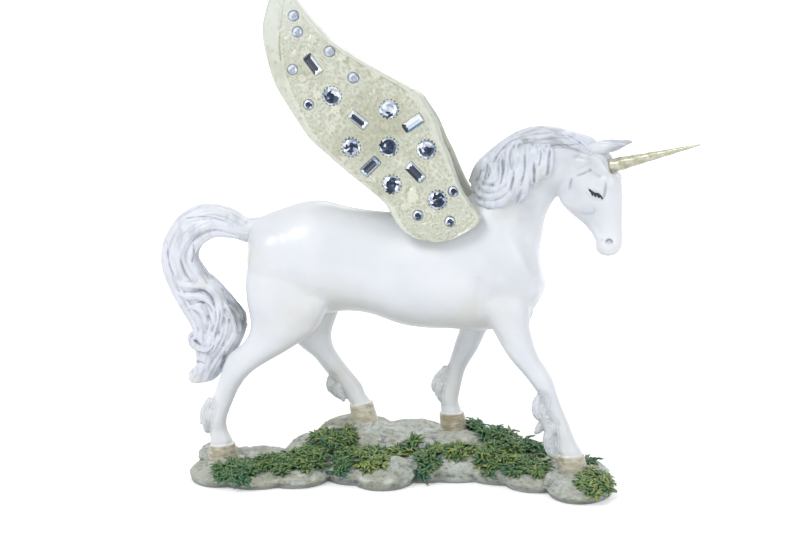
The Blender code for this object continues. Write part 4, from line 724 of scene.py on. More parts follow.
def path_frames(path):
    """For each row of a path: its place, radius, and the two directions across it."""
    out = []
    for i, row in enumerate(path):
        before, after = path[max(i - 1, 0)], path[min(i + 1, len(path) - 1)]
        along = Vector(after[:3] - before[:3]).normalized()
        across = along.cross(Vector((0.0, 1.0, 0.0))).normalized()
        out.append((Vector(row[:3]), max(float(row[3]), 0.12), across, across.cross(along)))
    return out


def lock(form, points, flat=1.0, sides=12, steps=5, share=1.0):
    """Adds a tapering lock of hair along points x, y, z, radius."""
    skin(form, [[place + share * radius * (c * across + flat * s * out) for c, s in around(sides)]
                for place, radius, across, out in path_frames(smooth_rows(points, steps))])


def stranded_lock(form, points, dice, spacing=1.0, steps=5, twist=0.8):
    """A lock of hair: a core with finer strands wound slowly round it."""
    # Shares of the radius: the core, the circle the strands lie on, and the one they cover evenly.
    core, ring, cover = 0.86, 0.84, 0.8
    lock(form, points, share=core, steps=steps)
    frames = path_frames(smooth_rows(points, steps))
    widest = max(radius for _, radius, _, _ in frames)
    count = max(5, round(2 * pi * cover * widest / spacing))
    for k in range(count):
        start = dice.uniform(0.0, 0.1)
        stop = dice.uniform(0.86, 1.0)
        lean = dice.uniform(-0.2, 0.2)
        thick = dice.uniform(0.8, 1.25) * pi * cover / count
        strand = []
        for i, (place, radius, across, out) in enumerate(frames):
            t = i / (len(frames) - 1)
            if not start <= t <= stop:
                continue
            angle = 2 * pi * k / count + lean + twist * t + 0.25 * sin(9 * t + k)
            end = min(1.0, (t - start) / 0.06 + 0.25, (stop - t) / 0.08 + 0.2)
            spot = place + ring * radius * (cos(angle) * across + sin(angle) * out)
            strand.append(np.array((*spot, thick * radius * end)))
        if len(strand) > 3:
            lock(form, strand, sides=6, steps=1)


def head_turn():
    """The head turns about the poll, nose towards the right side."""
    pivot = Matrix.Translation((POLL_X, 0.0, 0.0))
    return pivot @ Matrix.Rotation(radians(-HEAD_TURN), 4, "Z") @ pivot.inverted()


def surface_out(tree, x, z, side):
    """How far out the surface lies at x, z on one side, or None where there is none."""
    far = 60.0
    hit = tree.ray_cast(Vector((x, side * far, z)) * MM, Vector((0.0, -side, 0.0)), far * MM)[0]
    return abs(hit.y) / MM if hit else None


def linked(name, data):
    """A new object in the scene."""
    made = bpy.data.objects.new(name, data)
    bpy.context.scene.collection.objects.link(made)
    return made


def mesh_of(form, name):
    """A bmesh turned into a mesh, and freed."""
    mesh = bpy.data.meshes.new(name)
    form.to_mesh(mesh)
    form.free()
    return mesh


def mesh_from(form, name, voxel, smoothing):
    """One even skin over all the closed forms in a bmesh."""
    holder = linked(name + "_rough", mesh_of(form, name + "_rough"))
    blend = holder.modifiers.new("one_skin", "REMESH")
    blend.mode = "VOXEL"
    blend.voxel_size = voxel * MM
    soften = holder.modifiers.new("soften", "SMOOTH")
    soften.iterations = smoothing
    return applied(holder, name)


def applied(holder, name):
    """The mesh of an object with its modifiers, the object being removed."""
    mesh = bpy.data.meshes.new_from_object(holder.evaluated_get(bpy.context.evaluated_depsgraph_get()))
    mesh.name = name
    old = holder.data
    bpy.data.objects.remove(holder, do_unlink=True)
    bpy.data.meshes.remove(old)
    return mesh


def fewer(mesh, most):
    """The mesh with at most so many triangles."""
    count = sum(len(polygon.vertices) - 2 for polygon in mesh.polygons)
    if count <= most:
        return mesh
    holder = linked(mesh.name + "_full", mesh)
    shrink = holder.modifiers.new("fewer_faces", "DECIMATE")
    shrink.ratio = most / count
    return applied(holder, mesh.name)


def points_of(mesh):
    """The mesh's points and their normals, points in millimetres."""
    count = len(mesh.vertices)
    places = np.empty(count * 3)
    mesh.vertices.foreach_get("co", places)
    normals = np.empty(count * 3)
    mesh.vertex_normals.foreach_get("vector", normals)
    return places.reshape(-1, 3) / MM, normals.reshape(-1, 3)


def set_points(mesh, places):
    """Moves the mesh's points to places given in millimetres."""
    mesh.vertices.foreach_set("co", (places * MM).ravel())
    mesh.update()


def hollows(mesh, rounds):
    """How deep each point lies below its surroundings, in millimetres."""
    places, normals = points_of(mesh)
    edges = np.empty(len(mesh.edges) * 2, dtype=np.int64)
    mesh.edges.foreach_get("vertices", edges)
    a, b = edges.reshape(-1, 2).T
    count = np.maximum(np.bincount(np.concatenate((a, b)), minlength=len(places)), 1)
    even = places.copy()
    for _ in range(rounds):
        for axis in range(3):
            column = even[:, axis]
            total = np.bincount(a, column[b], len(places)) + np.bincount(b, column[a], len(places))
            even[:, axis] = 0.4 * column + 0.6 * total / count
    return ((even - places) * normals).sum(axis=1)


def paint(mesh, colours, domain="POINT"):
    """Stores a colour at each point or corner, for the materials to read."""
    layer = mesh.color_attributes.new("paint", "FLOAT_COLOR", domain)
    full = np.ones((len(layer.data), 4))
    full[:, :3] = np.clip(colours, 0.0, 1.0)
    layer.data.foreach_set("color", full.ravel())


def mottle(places, size, octaves=2, shift=0.0):
    """Smooth noise between about -1 and 1 at each place."""
    scaled = places / size + shift
    return np.array([noise.fractal(Vector(p), 1.0, 2.0, octaves) for p in scaled])


def distance_to_path(flat, path):
    """How far each x, z point is from a path, and how far along it, from 0 to 1."""
    best = np.full(len(flat), 1e9)
    along = np.zeros(len(flat))
    for i, (a, b) in enumerate(zip(path, path[1:])):
        a, b = np.array(a, dtype=float), np.array(b, dtype=float)
        share = np.clip(((flat - a) @ (b - a)) / max(((b - a) ** 2).sum(), 1e-9), 0.0, 1.0)
        gap = np.linalg.norm(flat - a - share[:, None] * (b - a), axis=1)
        closer = gap < best
        best[closer] = gap[closer]
        along[closer] = (i + share[closer]) / (len(path) - 1)
    return best, along


def groove(flat, path, width, depth):
    """A carved line that fades at its ends, as a depth at each x, z point."""
    gap, along = distance_to_path(flat, [row[:2] for row in smooth_rows(path, 4)])
    return depth * bell(gap, width) * np.sqrt(np.clip(4 * along * (1 - along), 0.0, 1.0))


def piece(name, mesh, replaced=(), finish=None, smooth=True):
    """An object of the figurine, riding on its body."""
    made = linked(name, mesh)
    mesh.materials.clear()
    mesh.materials.append(finish)
    if smooth:
        mesh.polygons.foreach_set("use_smooth", [True] * len(mesh.polygons))
    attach(made, "root")
    if replaced:
        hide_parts(*replaced)
    return made


# Materials
def new_material(name):
    """A new material with its nodes, links and main shader."""
    made = bpy.data.materials.new(name)
    made.use_nodes = True
    return made, made.node_tree.nodes, made.node_tree.links, made.node_tree.nodes["Principled BSDF"]


def set_sockets(node, values):
    """The node, with its own sockets set by name."""
    for name, value in values.items():
        node.inputs[name].default_value = value
    return node


def paint_colour(nodes):
    """The colour stored at the mesh's points or corners."""
    colour = nodes.new("ShaderNodeAttribute")
    colour.attribute_name = "paint"
    return colour.outputs["Color"]


def paint_material(name, roughness, spread, coat, grain, grain_depth,
                   stain=PLAIN, stain_share=0.0, metallic=0.0):
    """Painted resin: its colour comes from the points, its sheen and grain from noise."""
    made, nodes, links, shader = new_material(name)
    set_sockets(shader, {"Coat Weight": coat, "Coat Roughness": 0.2, "Metallic": metallic})
    place = nodes.new("ShaderNodeTexCoord").outputs["Object"]
    broad = set_sockets(nodes.new("ShaderNodeTexNoise"), {"Scale": BROAD_NOISE, "Detail": 4.0})
    fine = set_sockets(nodes.new("ShaderNodeTexNoise"), {"Scale": grain, "Detail": 3.0})
    mix = nodes.new("ShaderNodeMix")
    mix.data_type = "RGBA"
    mix.blend_type = "MULTIPLY"
    set_sockets(mix, {"B": (*stain, 1.0)})
    amount = set_sockets(nodes.new("ShaderNodeMapRange"),
                         {"From Min": 0.4, "From Max": 0.7, "To Max": stain_share})
    sheen = set_sockets(nodes.new("ShaderNodeMapRange"),
                        {"To Min": roughness - spread, "To Max": roughness + spread})
    bump = set_sockets(nodes.new("ShaderNodeBump"), {"Strength": 0.5, "Distance": grain_depth * MM})
    for start, end in (
            (place, broad.inputs["Vector"]),
            (place, fine.inputs["Vector"]),
            (broad.outputs["Fac"], amount.inputs["Value"]),
            (amount.outputs["Result"], mix.inputs["Factor"]),
            (paint_colour(nodes), mix.inputs["A"]),
            (mix.outputs["Result"], shader.inputs["Base Color"]),
            (broad.outputs["Fac"], sheen.inputs["Value"]),
            (sheen.outputs["Result"], shader.inputs["Roughness"]),
            (fine.outputs["Fac"], bump.inputs["Height"]),
            (bump.outputs["Normal"], shader.inputs["Normal"])):
        links.new(start, end)
    return made


def stone_material():
    """Foil-backed cut glass: each facet's painted reflection as its colour, under a hard gloss."""
    made, nodes, links, shader = new_material("cut_stone")
    set_sockets(shader, {"Roughness": 0.06, "Metallic": 0.7, "Coat Weight": 0.1, "Coat Roughness": 0.02})
    links.new(paint_colour(nodes), shader.inputs["Base Color"])
    return made


# Each paint: roughness and its spread, coat, the grain's scale and depth, the stain and its share, metallic
RESIN_PAINT = paint_material("resin_paint", 0.36, 0.06, 0.3, 900.0, 0.04, (0.93, 0.93, 0.96), 0.5)
HAIR_PAINT = paint_material("hair_paint", 0.46, 0.08, 0.15, 1600.0, 0.06, (0.9, 0.91, 0.97), 0.5)
ROCK_PAINT = paint_material("rock_paint", 0.66, 0.12, 0.0, 1500.0, 0.22, (0.72, 0.74, 0.66), 0.7)
GRASS_PAINT = paint_material("grass_paint", 0.46, 0.1, 0.2, 1200.0, 0.08)
PEARL_PAINT = paint_material("pearl_paint", 0.38, 0.08, 0.35, 1500.0, 0.06, (0.93, 0.92, 0.84), 0.5, 0.12)
GOLD_PAINT = paint_material("gold_paint", 0.34, 0.06, 0.3, 1300.0, 0.05, (0.9, 0.88, 0.76), 0.5, 0.3)
LASH_PAINT = paint_material("lash_paint", 0.4, 0.05, 0.1, 1500.0, 0.02)
STONE_GLASS = stone_material()


# The horse
def flesh_form():
    """Trunk, head, muscles and legs as closed forms, to be blended into one another."""
    form = bmesh.new()
    turn = head_turn()
    cut_form(form, TORSO)
    cut_form(form, HEAD, turn=turn)
    for x, y, z, rx, ry, rz, tilt in MUSCLES:
        for side in (-1, 1):
            lump(form, (x, side * y, z), (rx, ry, rz), tilt)
    for side in (-1, 1):
        for (x, y, z), halves in FACE_LUMPS:
            lump(form, turn @ Vector((x, side * y, z)), halves)
    lump(form, turn @ Vector(CHIN[0]), CHIN[1])
    for _, rows, side in LEGS:
        add_leg(form, rows, side)
    return form


def add_ears(form):
    """Both ears, folded back and hollow in front."""
    turn = head_turn()
    for side in (-1, 1):
        ear = [(*(turn @ Vector((x, side * y, z))), radius) for x, y, z, radius in EAR]
        lock(form, ear, flat=0.8, sides=20, steps=8)


def add_leg(form, rows, side):
    """One leg down to its coronet."""
    rings = []
    for row in smooth_rows(rows, 6):
        y = side * LEG_OUT * row[5]
        middle, half = (row[0:2] + row[2:4]) / 2, (row[2:4] - row[0:2]) / 2
        ring = []
        for c, s in around(LEG_SIDES):
            x, z = middle + c * half
            ring.append(Vector((x, y + s * row[4], z)))
        rings.append(ring)
    skin(form, rings)


def add_hoof(form, name, side):
    """A hoof and the tufts behind its fetlock."""
    rear_x, rear_z, front_x, front_z, heel_x, heel_z, toe_x, toe_z = HOOVES[name]
    rings = []
    for x0, z0, x1, z1, half in ((rear_x, rear_z, front_x, front_z, HOOF_HALF_WIDTH),
                                 (heel_x, heel_z, toe_x, toe_z, HOOF_HALF_WIDTH + HOOF_FLARE)):
        ring = []
        for c, s in around(HOOF_SIDES):
            along = (1 + c) / 2
            ring.append(Vector((x0 + along * (x1 - x0), side * LEG_OUT + s * half, z0 + along * (z1 - z0))))
        rings.append(ring)
    skin(form, rings)
    dice = random.Random(SEED + len(name))
    for tuft in TUFTS[name]:
        points = [(x, side * LEG_OUT + out, z, radius) for x, z, radius, out in tuft]
        stranded_lock(form, points, dice, 0.8)


def hoof_shares(places):
    """How far each point is into the hoof paint, its depth below the coronet, and the hoof's own darkness."""
    share, level, dark = np.zeros((3, len(places)))
    for name, _, side in LEGS:
        rear_x, rear_z, front_x, front_z, heel_x, _, toe_x, _ = HOOVES[name]
        edge = rear_z + (places[:, 0] - rear_x) * (front_z - rear_z) / (front_x - rear_x)
        near = ((places[:, 0] > min(rear_x, heel_x) - 3) & (places[:, 0] < max(front_x, toe_x) + 3)
                & (np.abs(places[:, 1] - side * LEG_OUT) < 8) & (places[:, 2] < edge + 3))
        inside = smooth_step(edge + 0.3 - places[:, 2], 0.0, 0.5)
        share = np.where(near, inside, share)
        level = np.where(near, edge - places[:, 2], level)
        dark = np.where(near, HOOF_SHADES[name], dark)
    return share, level, dark


def tuft_strands(places):
    """Fine lines along the tufts behind the fetlocks, and how near each point is to a tuft."""
    strands, nearness = np.zeros((2, len(places)))
    for name, _, side in LEGS:
        for tuft in TUFTS[name]:
            near = np.hypot(places[:, 0] - tuft[1][0], places[:, 2] - tuft[1][1]) < TUFT_REACH
            near &= side * places[:, 1] > 0
            gap, _ = distance_to_path(places[near][:, (0, 2)], [(x, z) for x, z, _, _ in tuft])
            part = 1 - smooth_step(gap, 0.8 * tuft[1][2], 1.3 * tuft[1][2] + 0.3)
            wave = np.cos(2 * pi * gap / TUFT_STRAND + 3.0 * mottle(places[near], 2.0))
            strands[near] = np.maximum(strands[near], part * smooth_step(wave, -0.1, 0.9))
            nearness[near] = np.maximum(nearness[near], part)
    return strands, nearness


def head_places(places):
    """The points as they were before the head turned."""
    back = np.array(head_turn().inverted())
    return places @ back[:3, :3].T + back[:3, 3]


def seat_for_horn(places):
    """The points with the forehead flattened round the horn's root."""
    back = np.array(horn_frame().inverted())
    along = np.array(horn_frame())[:3, 2]
    own = places @ back[:3, :3].T + back[:3, 3] / MM
    gap = np.hypot(own[:, 0], own[:, 1])
    reach, level = HORN_SEAT_FLAT
    near = smooth_step(reach - gap, 0.0, HORN_SEAT_SOFT) * (np.abs(own[:, 2]) < 6.0)
    return places - along * (near * np.maximum(own[:, 2] - level, 0.0))[:, None]


def washed(colours, places, washes, wash):
    """The colours with soft round patches of another colour over them, used for washes of paint and for
    painted shade.
    """
    amount = np.zeros(len(places))
    for x, z, radius, strength in washes:
        gap = np.hypot(places[:, 0] - x, places[:, 2] - z)
        amount = np.maximum(amount, strength * bell(gap, radius))
    return mixed(colours, wash, amount * (0.75 + 0.5 * mottle(places, 6.0)))


def face_part(places, local):
    """Which points belong to the sides of the face."""
    least_x, least_z, least_y = FACE_FROM
    return (places[:, 0] > least_x) & (places[:, 2] > least_z) & (np.abs(local[:, 1]) > least_y)


def horse_relief(places):
    """How deep the face, ears, flanks, hooves and tufts are carved at each point."""
    local = head_places(places)
    face = face_part(places, local)
    depth = np.zeros(len(places))
    for path, width, deep, _ in FACE_LINES:
        depth[face] += groove(local[face][:, (0, 2)], path, width, deep)
    for x, z, radius, deep, _ in FACE_SPOTS:
        gap = np.hypot(local[:, 0] - x, local[:, 2] - z)
        depth += np.where(face, deep * bell(gap, radius), 0.0)
    (x, z), radius, rise = EYE_DOME
    gap = np.hypot(local[:, 0] - x, local[:, 2] - z)
    depth -= np.where(face, rise * bell(gap, radius), 0.0)
    ear = face & (local[:, 2] > EARS_FROM[1]) & (local[:, 0] > EARS_FROM[0])
    hollow = groove(local[ear][:, (0, 2)], EAR_HOLLOW, *EAR_HOLLOW_SIZE)
    depth[ear] += hollow * smooth_step(np.abs(local[ear][:, 1]), *EAR_HOLLOW_OUT)
    flank = np.abs(places[:, 1]) > BODY_LINES_OUT
    for path, width, deep in BODY_LINES:
        depth[flank] += groove(places[flank][:, (0, 2)], path, width, deep)
    hoof, level, _ = hoof_shares(places)
    height, spacing, out = HOOF_RINGS
    depth += hoof * (height * np.cos(2 * pi * level / spacing) - out)
    strands, _ = tuft_strands(places)
    return depth + TUFT_DEPTH * strands


def horse_colours(mesh):
    """The body's pale paint with its cream washes, painted shade in patches and hollows, the face's lines,
    the tufts and the hooves.
    """
    places, normals = points_of(mesh)
    local = head_places(places)
    deep = hollows(mesh, 30)
    colours = mixed(WHITE, LILAC, 0.4 + 0.5 * mottle(places, 22.0))
    colours = washed(colours, places, CREAM, CREAM_WASH)
    # Cream on the surfaces that face down: the belly's cream wash, and painted shade on the undersides
    colours = layered(colours, [(CREAM_WASH, 0.25, -normals[:, 2], 0.2, 0.9)])
    # Painted shade: grey patches under the mane, on the face and ears, on the chest and below the tail root
    colours = washed(colours, places, PAINTED_SHADE_PATCHES, SHADE)
    # Painted shade in the body's hollows
    colours = layered(colours, [(SHADE, 0.6, deep, 0.05, 0.5)])
    face = face_part(places, local)
    # Painted shade in the face's carved creases and hollows, and the nostril's grey paint
    for path, width, _, dark in FACE_LINES:
        lines = groove(local[face][:, (0, 2)], path, 0.8 * width, dark)
        colours[face] = mixed(colours[face], LINE_DARK_AND_SHADE, lines)
    for x, z, radius, _, dark in FACE_SPOTS:
        gap = np.hypot(local[:, 0] - x, local[:, 2] - z)
        colours = mixed(colours, LINE_DARK_AND_SHADE, dark * bell(gap, radius) * face)
    strands, near = tuft_strands(places)
    # Painted shade in the tufts' grooves, and a little over each whole tuft
    colours = mixed(colours, SHADE, 0.08 * near + 0.5 * strands)
    hoof, level, dark = hoof_shares(places)
    rings = 0.14 * np.cos(2 * pi * level / 1.1 + 0.5 * places[:, 0])
    band = dark + rings + 0.75 * mottle(places * (0.5, 1.0, 1.8), 1.8)
    return colours * (1 - hoof[:, None]) + mixed(HOOF_PALE, HOOF_DARK, band) * hoof[:, None]


def make_horse():
    """The horse's body with its carved face, muscles and painted hooves."""
    form = bmesh.new()
    form.from_mesh(mesh_from(flesh_form(), "horse_flesh", *FLESH_SKIN))
    add_ears(form)
    for name, _, side in LEGS:
        add_hoof(form, name, side)
    mesh = mesh_from(form, "horse_body", *BODY_SKIN)
    places, normals = points_of(mesh)
    set_points(mesh, seat_for_horn(places - normals * horse_relief(places)[:, None]))
    mesh = fewer(mesh, MOST_TRIANGLES["horse_body"])
    paint(mesh, horse_colours(mesh))
    return piece("horse_body", mesh, ("unicorn_casting",), RESIN_PAINT)


def make_lashes(horse):
    """The closed eyes' black lashes, laid on the lids."""
    tree = BVHTree.FromObject(horse, bpy.context.evaluated_depsgraph_get())
    turn = head_turn()
    form = bmesh.new()
    for side in (-1, 1):
        def on_lid(x, z):
            start = turn @ Vector((x, side * 30.0, z))
            away = turn.to_3x3() @ Vector((0.0, -side, 0.0))
            hit = tree.ray_cast(start * MM, away, 0.06)[0]
            return hit / MM if hit else turn @ Vector((x, side * 6.0, z))
        line = [on_lid(x, z) for x, z in LASH_LINE]
        lock(form, [(*p, r) for p, r in zip(line, (0.12, 0.4, 0.5, 0.5, 0.35))], flat=0.6, steps=6)
        for start, tip in zip(LASH_LINE, LASH_TIPS):
            middle = ((start[0] + tip[0]) / 2 - 0.15, (start[1] + tip[1]) / 2)
            row = [on_lid(*start), on_lid(*middle), on_lid(*tip)]
            lock(form, [(*p, r) for p, r in zip(row, (0.36, 0.36, 0.2))], flat=0.5, steps=4, sides=8)
    mesh = mesh_of(form, "lashes")
    paint(mesh, np.tile(LASH_INK, (len(mesh.vertices), 1)))
    return piece("lashes", mesh, finish=LASH_PAINT)


def carved(mesh, gaps, inner):
    """Sinks the gaps between locks into a mesh, on both sides."""
    places, normals = points_of(mesh)
    out = np.abs(places[:, 1]) > inner
    depth = np.zeros(len(places))
    flat = places[out][:, (0, 2)]
    for path, width, deep in gaps:
        depth[out] = np.maximum(depth[out], groove(flat, path, GAP_NARROW * width, GAP_SHALLOW * deep))
    set_points(mesh, places - normals * depth[:, None])


def hair_colours(mesh, pale, gaps, shadows, inner):
    """Pale hair with bluish streaks, painted shade in its grooves, hollows and gaps, painted shadows, and
    faint cream patches.
    """
    places, _ = points_of(mesh)
    colours = mixed(pale, np.array(pale) * (1.08, 1.06, 1.1), 0.5 + mottle(places, 6.0))
    colours = layered(colours, [
        (CREAM_WASH, 0.5, mottle(places, 9.0, shift=9.0), 0.2, 0.9),
        (SHADE, 0.6, mottle(places * (1.0, 1.0, 0.5), 3.0, 3, 4.0), 0.0, 0.8),
        # Painted shade in the hair's fine and broad hollows
        (HAIR_HOLLOW_SHADE, 0.68, hollows(mesh, 6), 0.0, 0.14),
        (HAIR_HOLLOW_SHADE, 0.45, hollows(mesh, 40), 0.1, 0.9)])
    out = np.abs(places[:, 1]) > inner
    # Painted shade in the gaps between locks, darker where they are carved deeper
    for path, width, sunk in gaps:
        lines = groove(places[out][:, (0, 2)], path, 0.6 * width, min(0.5, 0.3 * sunk))
        colours[out] = mixed(colours[out], GAP_SHADE, lines)
    return washed(colours, places, shadows, HAIR_SHADOW)


def neck_form():
    """The neck and the head that the mane lies on."""
    form = bmesh.new()
    cut_form(form, TORSO)
    cut_form(form, HEAD, turn=head_turn())
    return form


def laid(tree, x, z, side, least):
    """A point x, y, z on a surface seen from one side."""
    return (x, side * max(surface_out(tree, x, z, side) or 0.0, least), z)


def mane_mass():
    """The mane's broad locks, laid on the neck, and its crest."""
    neck = neck_form()
    tree = BVHTree.FromBMesh(neck)
    neck.free()
    form = bmesh.new()
    for side in (-1, 1):
        share = 1.0 if side < 0 else FAR_MANE_SHARE
        for path in MANE_FALL + MANE_BAND:
            rows = smooth_rows(path, 2)
            rows = rows[:max(4, round(share * len(rows)))]
            points = []
            for i, (x, z) in enumerate(rows):
                taper = min(1.0, 0.5 + i, 0.4 + 0.3 * (len(rows) - 1 - i))
                points.append((*laid(tree, x, z, side, MANE_LOCK), MANE_LOCK * taper))
            lock(form, points)
    lock(form, [(x, 0.0, z, radius) for x, z, radius in CREST])
    return form


def add_strand(form, tree, path, side, dice, radius):
    """One fine strand along a path of x, z, lying on the mass."""
    rows = smooth_rows(path, 4)
    phase, swing = dice.uniform(0, 2 * pi), dice.uniform(0.05, 0.25)
    start, stop = dice.randrange(0, 3), len(rows) - dice.randrange(0, 3)
    points = []
    for i in range(start, stop):
        t = (i - start) / (stop - start - 1)
        x, z = rows[i][0], rows[i][1]
        x += 0.4 * sin(0.62 * z + 0.45 * x) + swing * sin(7 * t + phase)
        taper = min(1.0, 0.35 + 5 * t, 0.25 + 5 * (1 - t))
        points.append((*laid(tree, x, z, side, 0.6), radius * taper * (1 + 0.2 * sin(15 * t + phase))))
    lock(form, points, sides=6, steps=1)


def laid_lock(form, tree, path, side, dice, spacing=0.7):
    """A stranded lock along points x, z, radius, lying on a surface."""
    rows = smooth_rows(path, 3)
    points = [(*laid(tree, x, z, side, 0.6), radius) for x, z, radius in rows]
    stranded_lock(form, points, dice, spacing, steps=2, twist=1.2)


def crest_strokes():
    """Fine strokes beside the crest, each a little below it and along a part of it."""
    dice = random.Random(SEED + 6)
    rows = smooth_rows(CREST[CREST_STROKES_FROM:], 4)
    strokes = []
    for _ in range(CREST_STROKES):
        start = dice.randrange(0, len(rows) - 8)
        stop = min(len(rows) - 1, start + dice.randrange(6, 16))
        drop, phase = dice.uniform(-2.8, 2.6), dice.uniform(0, 2 * pi)
        path = [(x - 0.25 * drop, z - drop + 0.3 * sin(0.5 * x + phase)) for x, z, _ in rows[start:stop:2]]
        strokes.append((path, dice.uniform(0.35, 0.55), dice.uniform(0.3, 0.6)))
    return strokes


def make_mane():
    """The carved mane: broad locks with fine strands laid on them, and the forelock."""
    dice = random.Random(SEED)
    form = mane_mass()
    ground = neck_form()
    copied = bpy.data.meshes.new("mane_mass")
    form.to_mesh(copied)
    ground.from_mesh(copied)
    bpy.data.meshes.remove(copied)
    tree = BVHTree.FromBMesh(ground)
    ground.free()
    for side in (-1, 1):
        share = 1.0 if side < 0 else FAR_MANE_SHARE
        for family, count in ((MANE_FALL, 4), (MANE_BAND, 5)):
            for low, high in zip(family, family[1:]):
                for k in range(count):
                    t = (k + dice.uniform(0.1, 0.9)) / count
                    path = [(a[0] * (1 - t) + b[0] * t, a[1] * (1 - t) + b[1] * t) for a, b in zip(low, high)]
                    path = path[:max(4, round(share * len(path)))]
                    if family is MANE_FALL and low[0][0] < CURLS_BEHIND:
                        path = path[:STRANDS_ABOVE]
                    add_strand(form, tree, path, side, dice, dice.choice((0.32, 0.4, 0.5, 0.65, 0.85)))
        for path in MANE_CURLS:
            laid_lock(form, tree, path, side, dice)
    turn = head_turn()
    for side, drop in FORELOCKS:
        path = FORELOCK + [(FORELOCK_TIP[0], FORELOCK_TIP[1], drop, FORELOCK_TIP[2])]
        points = [(*(turn @ Vector((x - FORELOCK_BACK, side * y, z))), FORELOCK_SLIM * radius)
                  for x, y, z, radius in path]
        stranded_lock(form, points, dice, 0.6)
    stranded_lock(form, [(x, 0.0, z, radius) for x, z, radius in CREST], dice, 0.8, twist=0.2)
    mesh = mesh_from(form, "mane", *HAIR_SKIN)
    gaps = MANE_GAPS + crest_strokes()
    carved(mesh, gaps, 0.5)
    mesh = fewer(mesh, MOST_TRIANGLES["mane"])
    paint(mesh, hair_colours(mesh, MANE_PALE, gaps, MANE_SHADOWS, 0.5))
    return piece("mane", mesh, finish=HAIR_PAINT)


def tail_x(x):
    """An x of the tail's tables, stretched behind the root to the tail's reach."""
    return x if x > TAIL_ROOT_X else TAIL_ROOT_X + (x - TAIL_ROOT_X) * TAIL_REACH / TAIL_DRAWN


def tail_point(row, angle, swell=1.0):
    """A point on the tail's section."""
    middle, half = (row[0:2] + row[2:4]) / 2, (row[0:2] - row[2:4]) / 2
    x, z = middle + cos(angle) * half * swell
    return Vector((tail_x(x), row[5] + sin(angle) * row[4] * swell, z))


def tail_side(x, z):
    """How far out, in y, the tail's section reaches at a place: its middle and its half width there."""
    rows = np.array(smooth_rows(TAIL, 8))
    middles = np.stack(((rows[:, 0] + rows[:, 2]) / 2, (rows[:, 1] + rows[:, 3]) / 2), axis=1)
    gaps = np.hypot(middles[:, 0] - x, middles[:, 1] - z)
    nearest = int(np.argmin(gaps))
    row = rows[nearest]
    half = np.hypot(row[0] - row[2], row[1] - row[3]) / 2
    part = min(gaps[nearest] / max(half, 0.1), 0.98)
    return row[5], row[4] * (1 - part * part) ** 0.5


def make_tail():
    """The carved tail: its mass, the fine strands on it, and its locks."""
    dice = random.Random(SEED + 1)
    form = bmesh.new()
    rows = smooth_rows(TAIL, 8)
    sides, strands = 48, 52
    skin(form, [[tail_point(row, 2 * pi * i / sides, 0.96) for i in range(sides)] for row in rows])
    for k in range(strands):
        start, stop = dice.randrange(4, 16), len(rows) - 1 - dice.randrange(2, 26)
        phase, radius = dice.uniform(0, 2 * pi), dice.uniform(0.4, 0.85)
        points = []
        for i in range(start, stop, 2):
            t = (i - start) / (stop - start)
            angle = 2 * pi * k / strands + 0.3 * sin(6 * t + 0.4 * k) + 0.12 * sin(17 * t + phase)
            taper = min(1.0, 0.3 + 6 * t, 0.2 + 5 * (1 - t))
            points.append((*tail_point(rows[i], angle, 0.97), radius * taper))
        lock(form, points, sides=6, steps=1)
    for path in TAIL_LOCKS:
        for side in (1, -1):
            points = [(tail_x(x), TAIL_MIDDLE + side * (y - TAIL_MIDDLE + TAIL_LOCKS_OUT), z, radius)
                      for x, z, radius, y in path]
            stranded_lock(form, points, dice, 0.8, twist=1.4)
    for path in TAIL_SWEEPS:
        for side in (1, -1):
            points = []
            for x, z, radius in path:
                middle, half = tail_side(x, z)
                points.append((tail_x(x), middle + side * (half + 0.35 * radius), z, radius))
            stranded_lock(form, points, dice, 0.7, twist=1.4)
    mesh = mesh_from(form, "tail", *HAIR_SKIN)
    carved(mesh, TAIL_GAPS, 1.0)
    mesh = fewer(mesh, MOST_TRIANGLES["tail"])
    paint(mesh, hair_colours(mesh, TAIL_PALE, TAIL_GAPS, TAIL_SHADOWS, 1.0))
    return piece("tail", mesh, finish=HAIR_PAINT)


# The base
def under_grass(places):
    """How far each point lies under the grass, from 0 to 1."""
    share = np.zeros(len(places))
    for x, y, rx, ry, _ in GRASS:
        gap = np.hypot((places[:, 0] - x) / rx, (places[:, 1] - y) / ry)
        share = np.maximum(share, smooth_step(GRASS_DARK_REACH - gap, 0.0, 0.3))
    return share * smooth_step(places[:, 2], 1.6, 3.2)


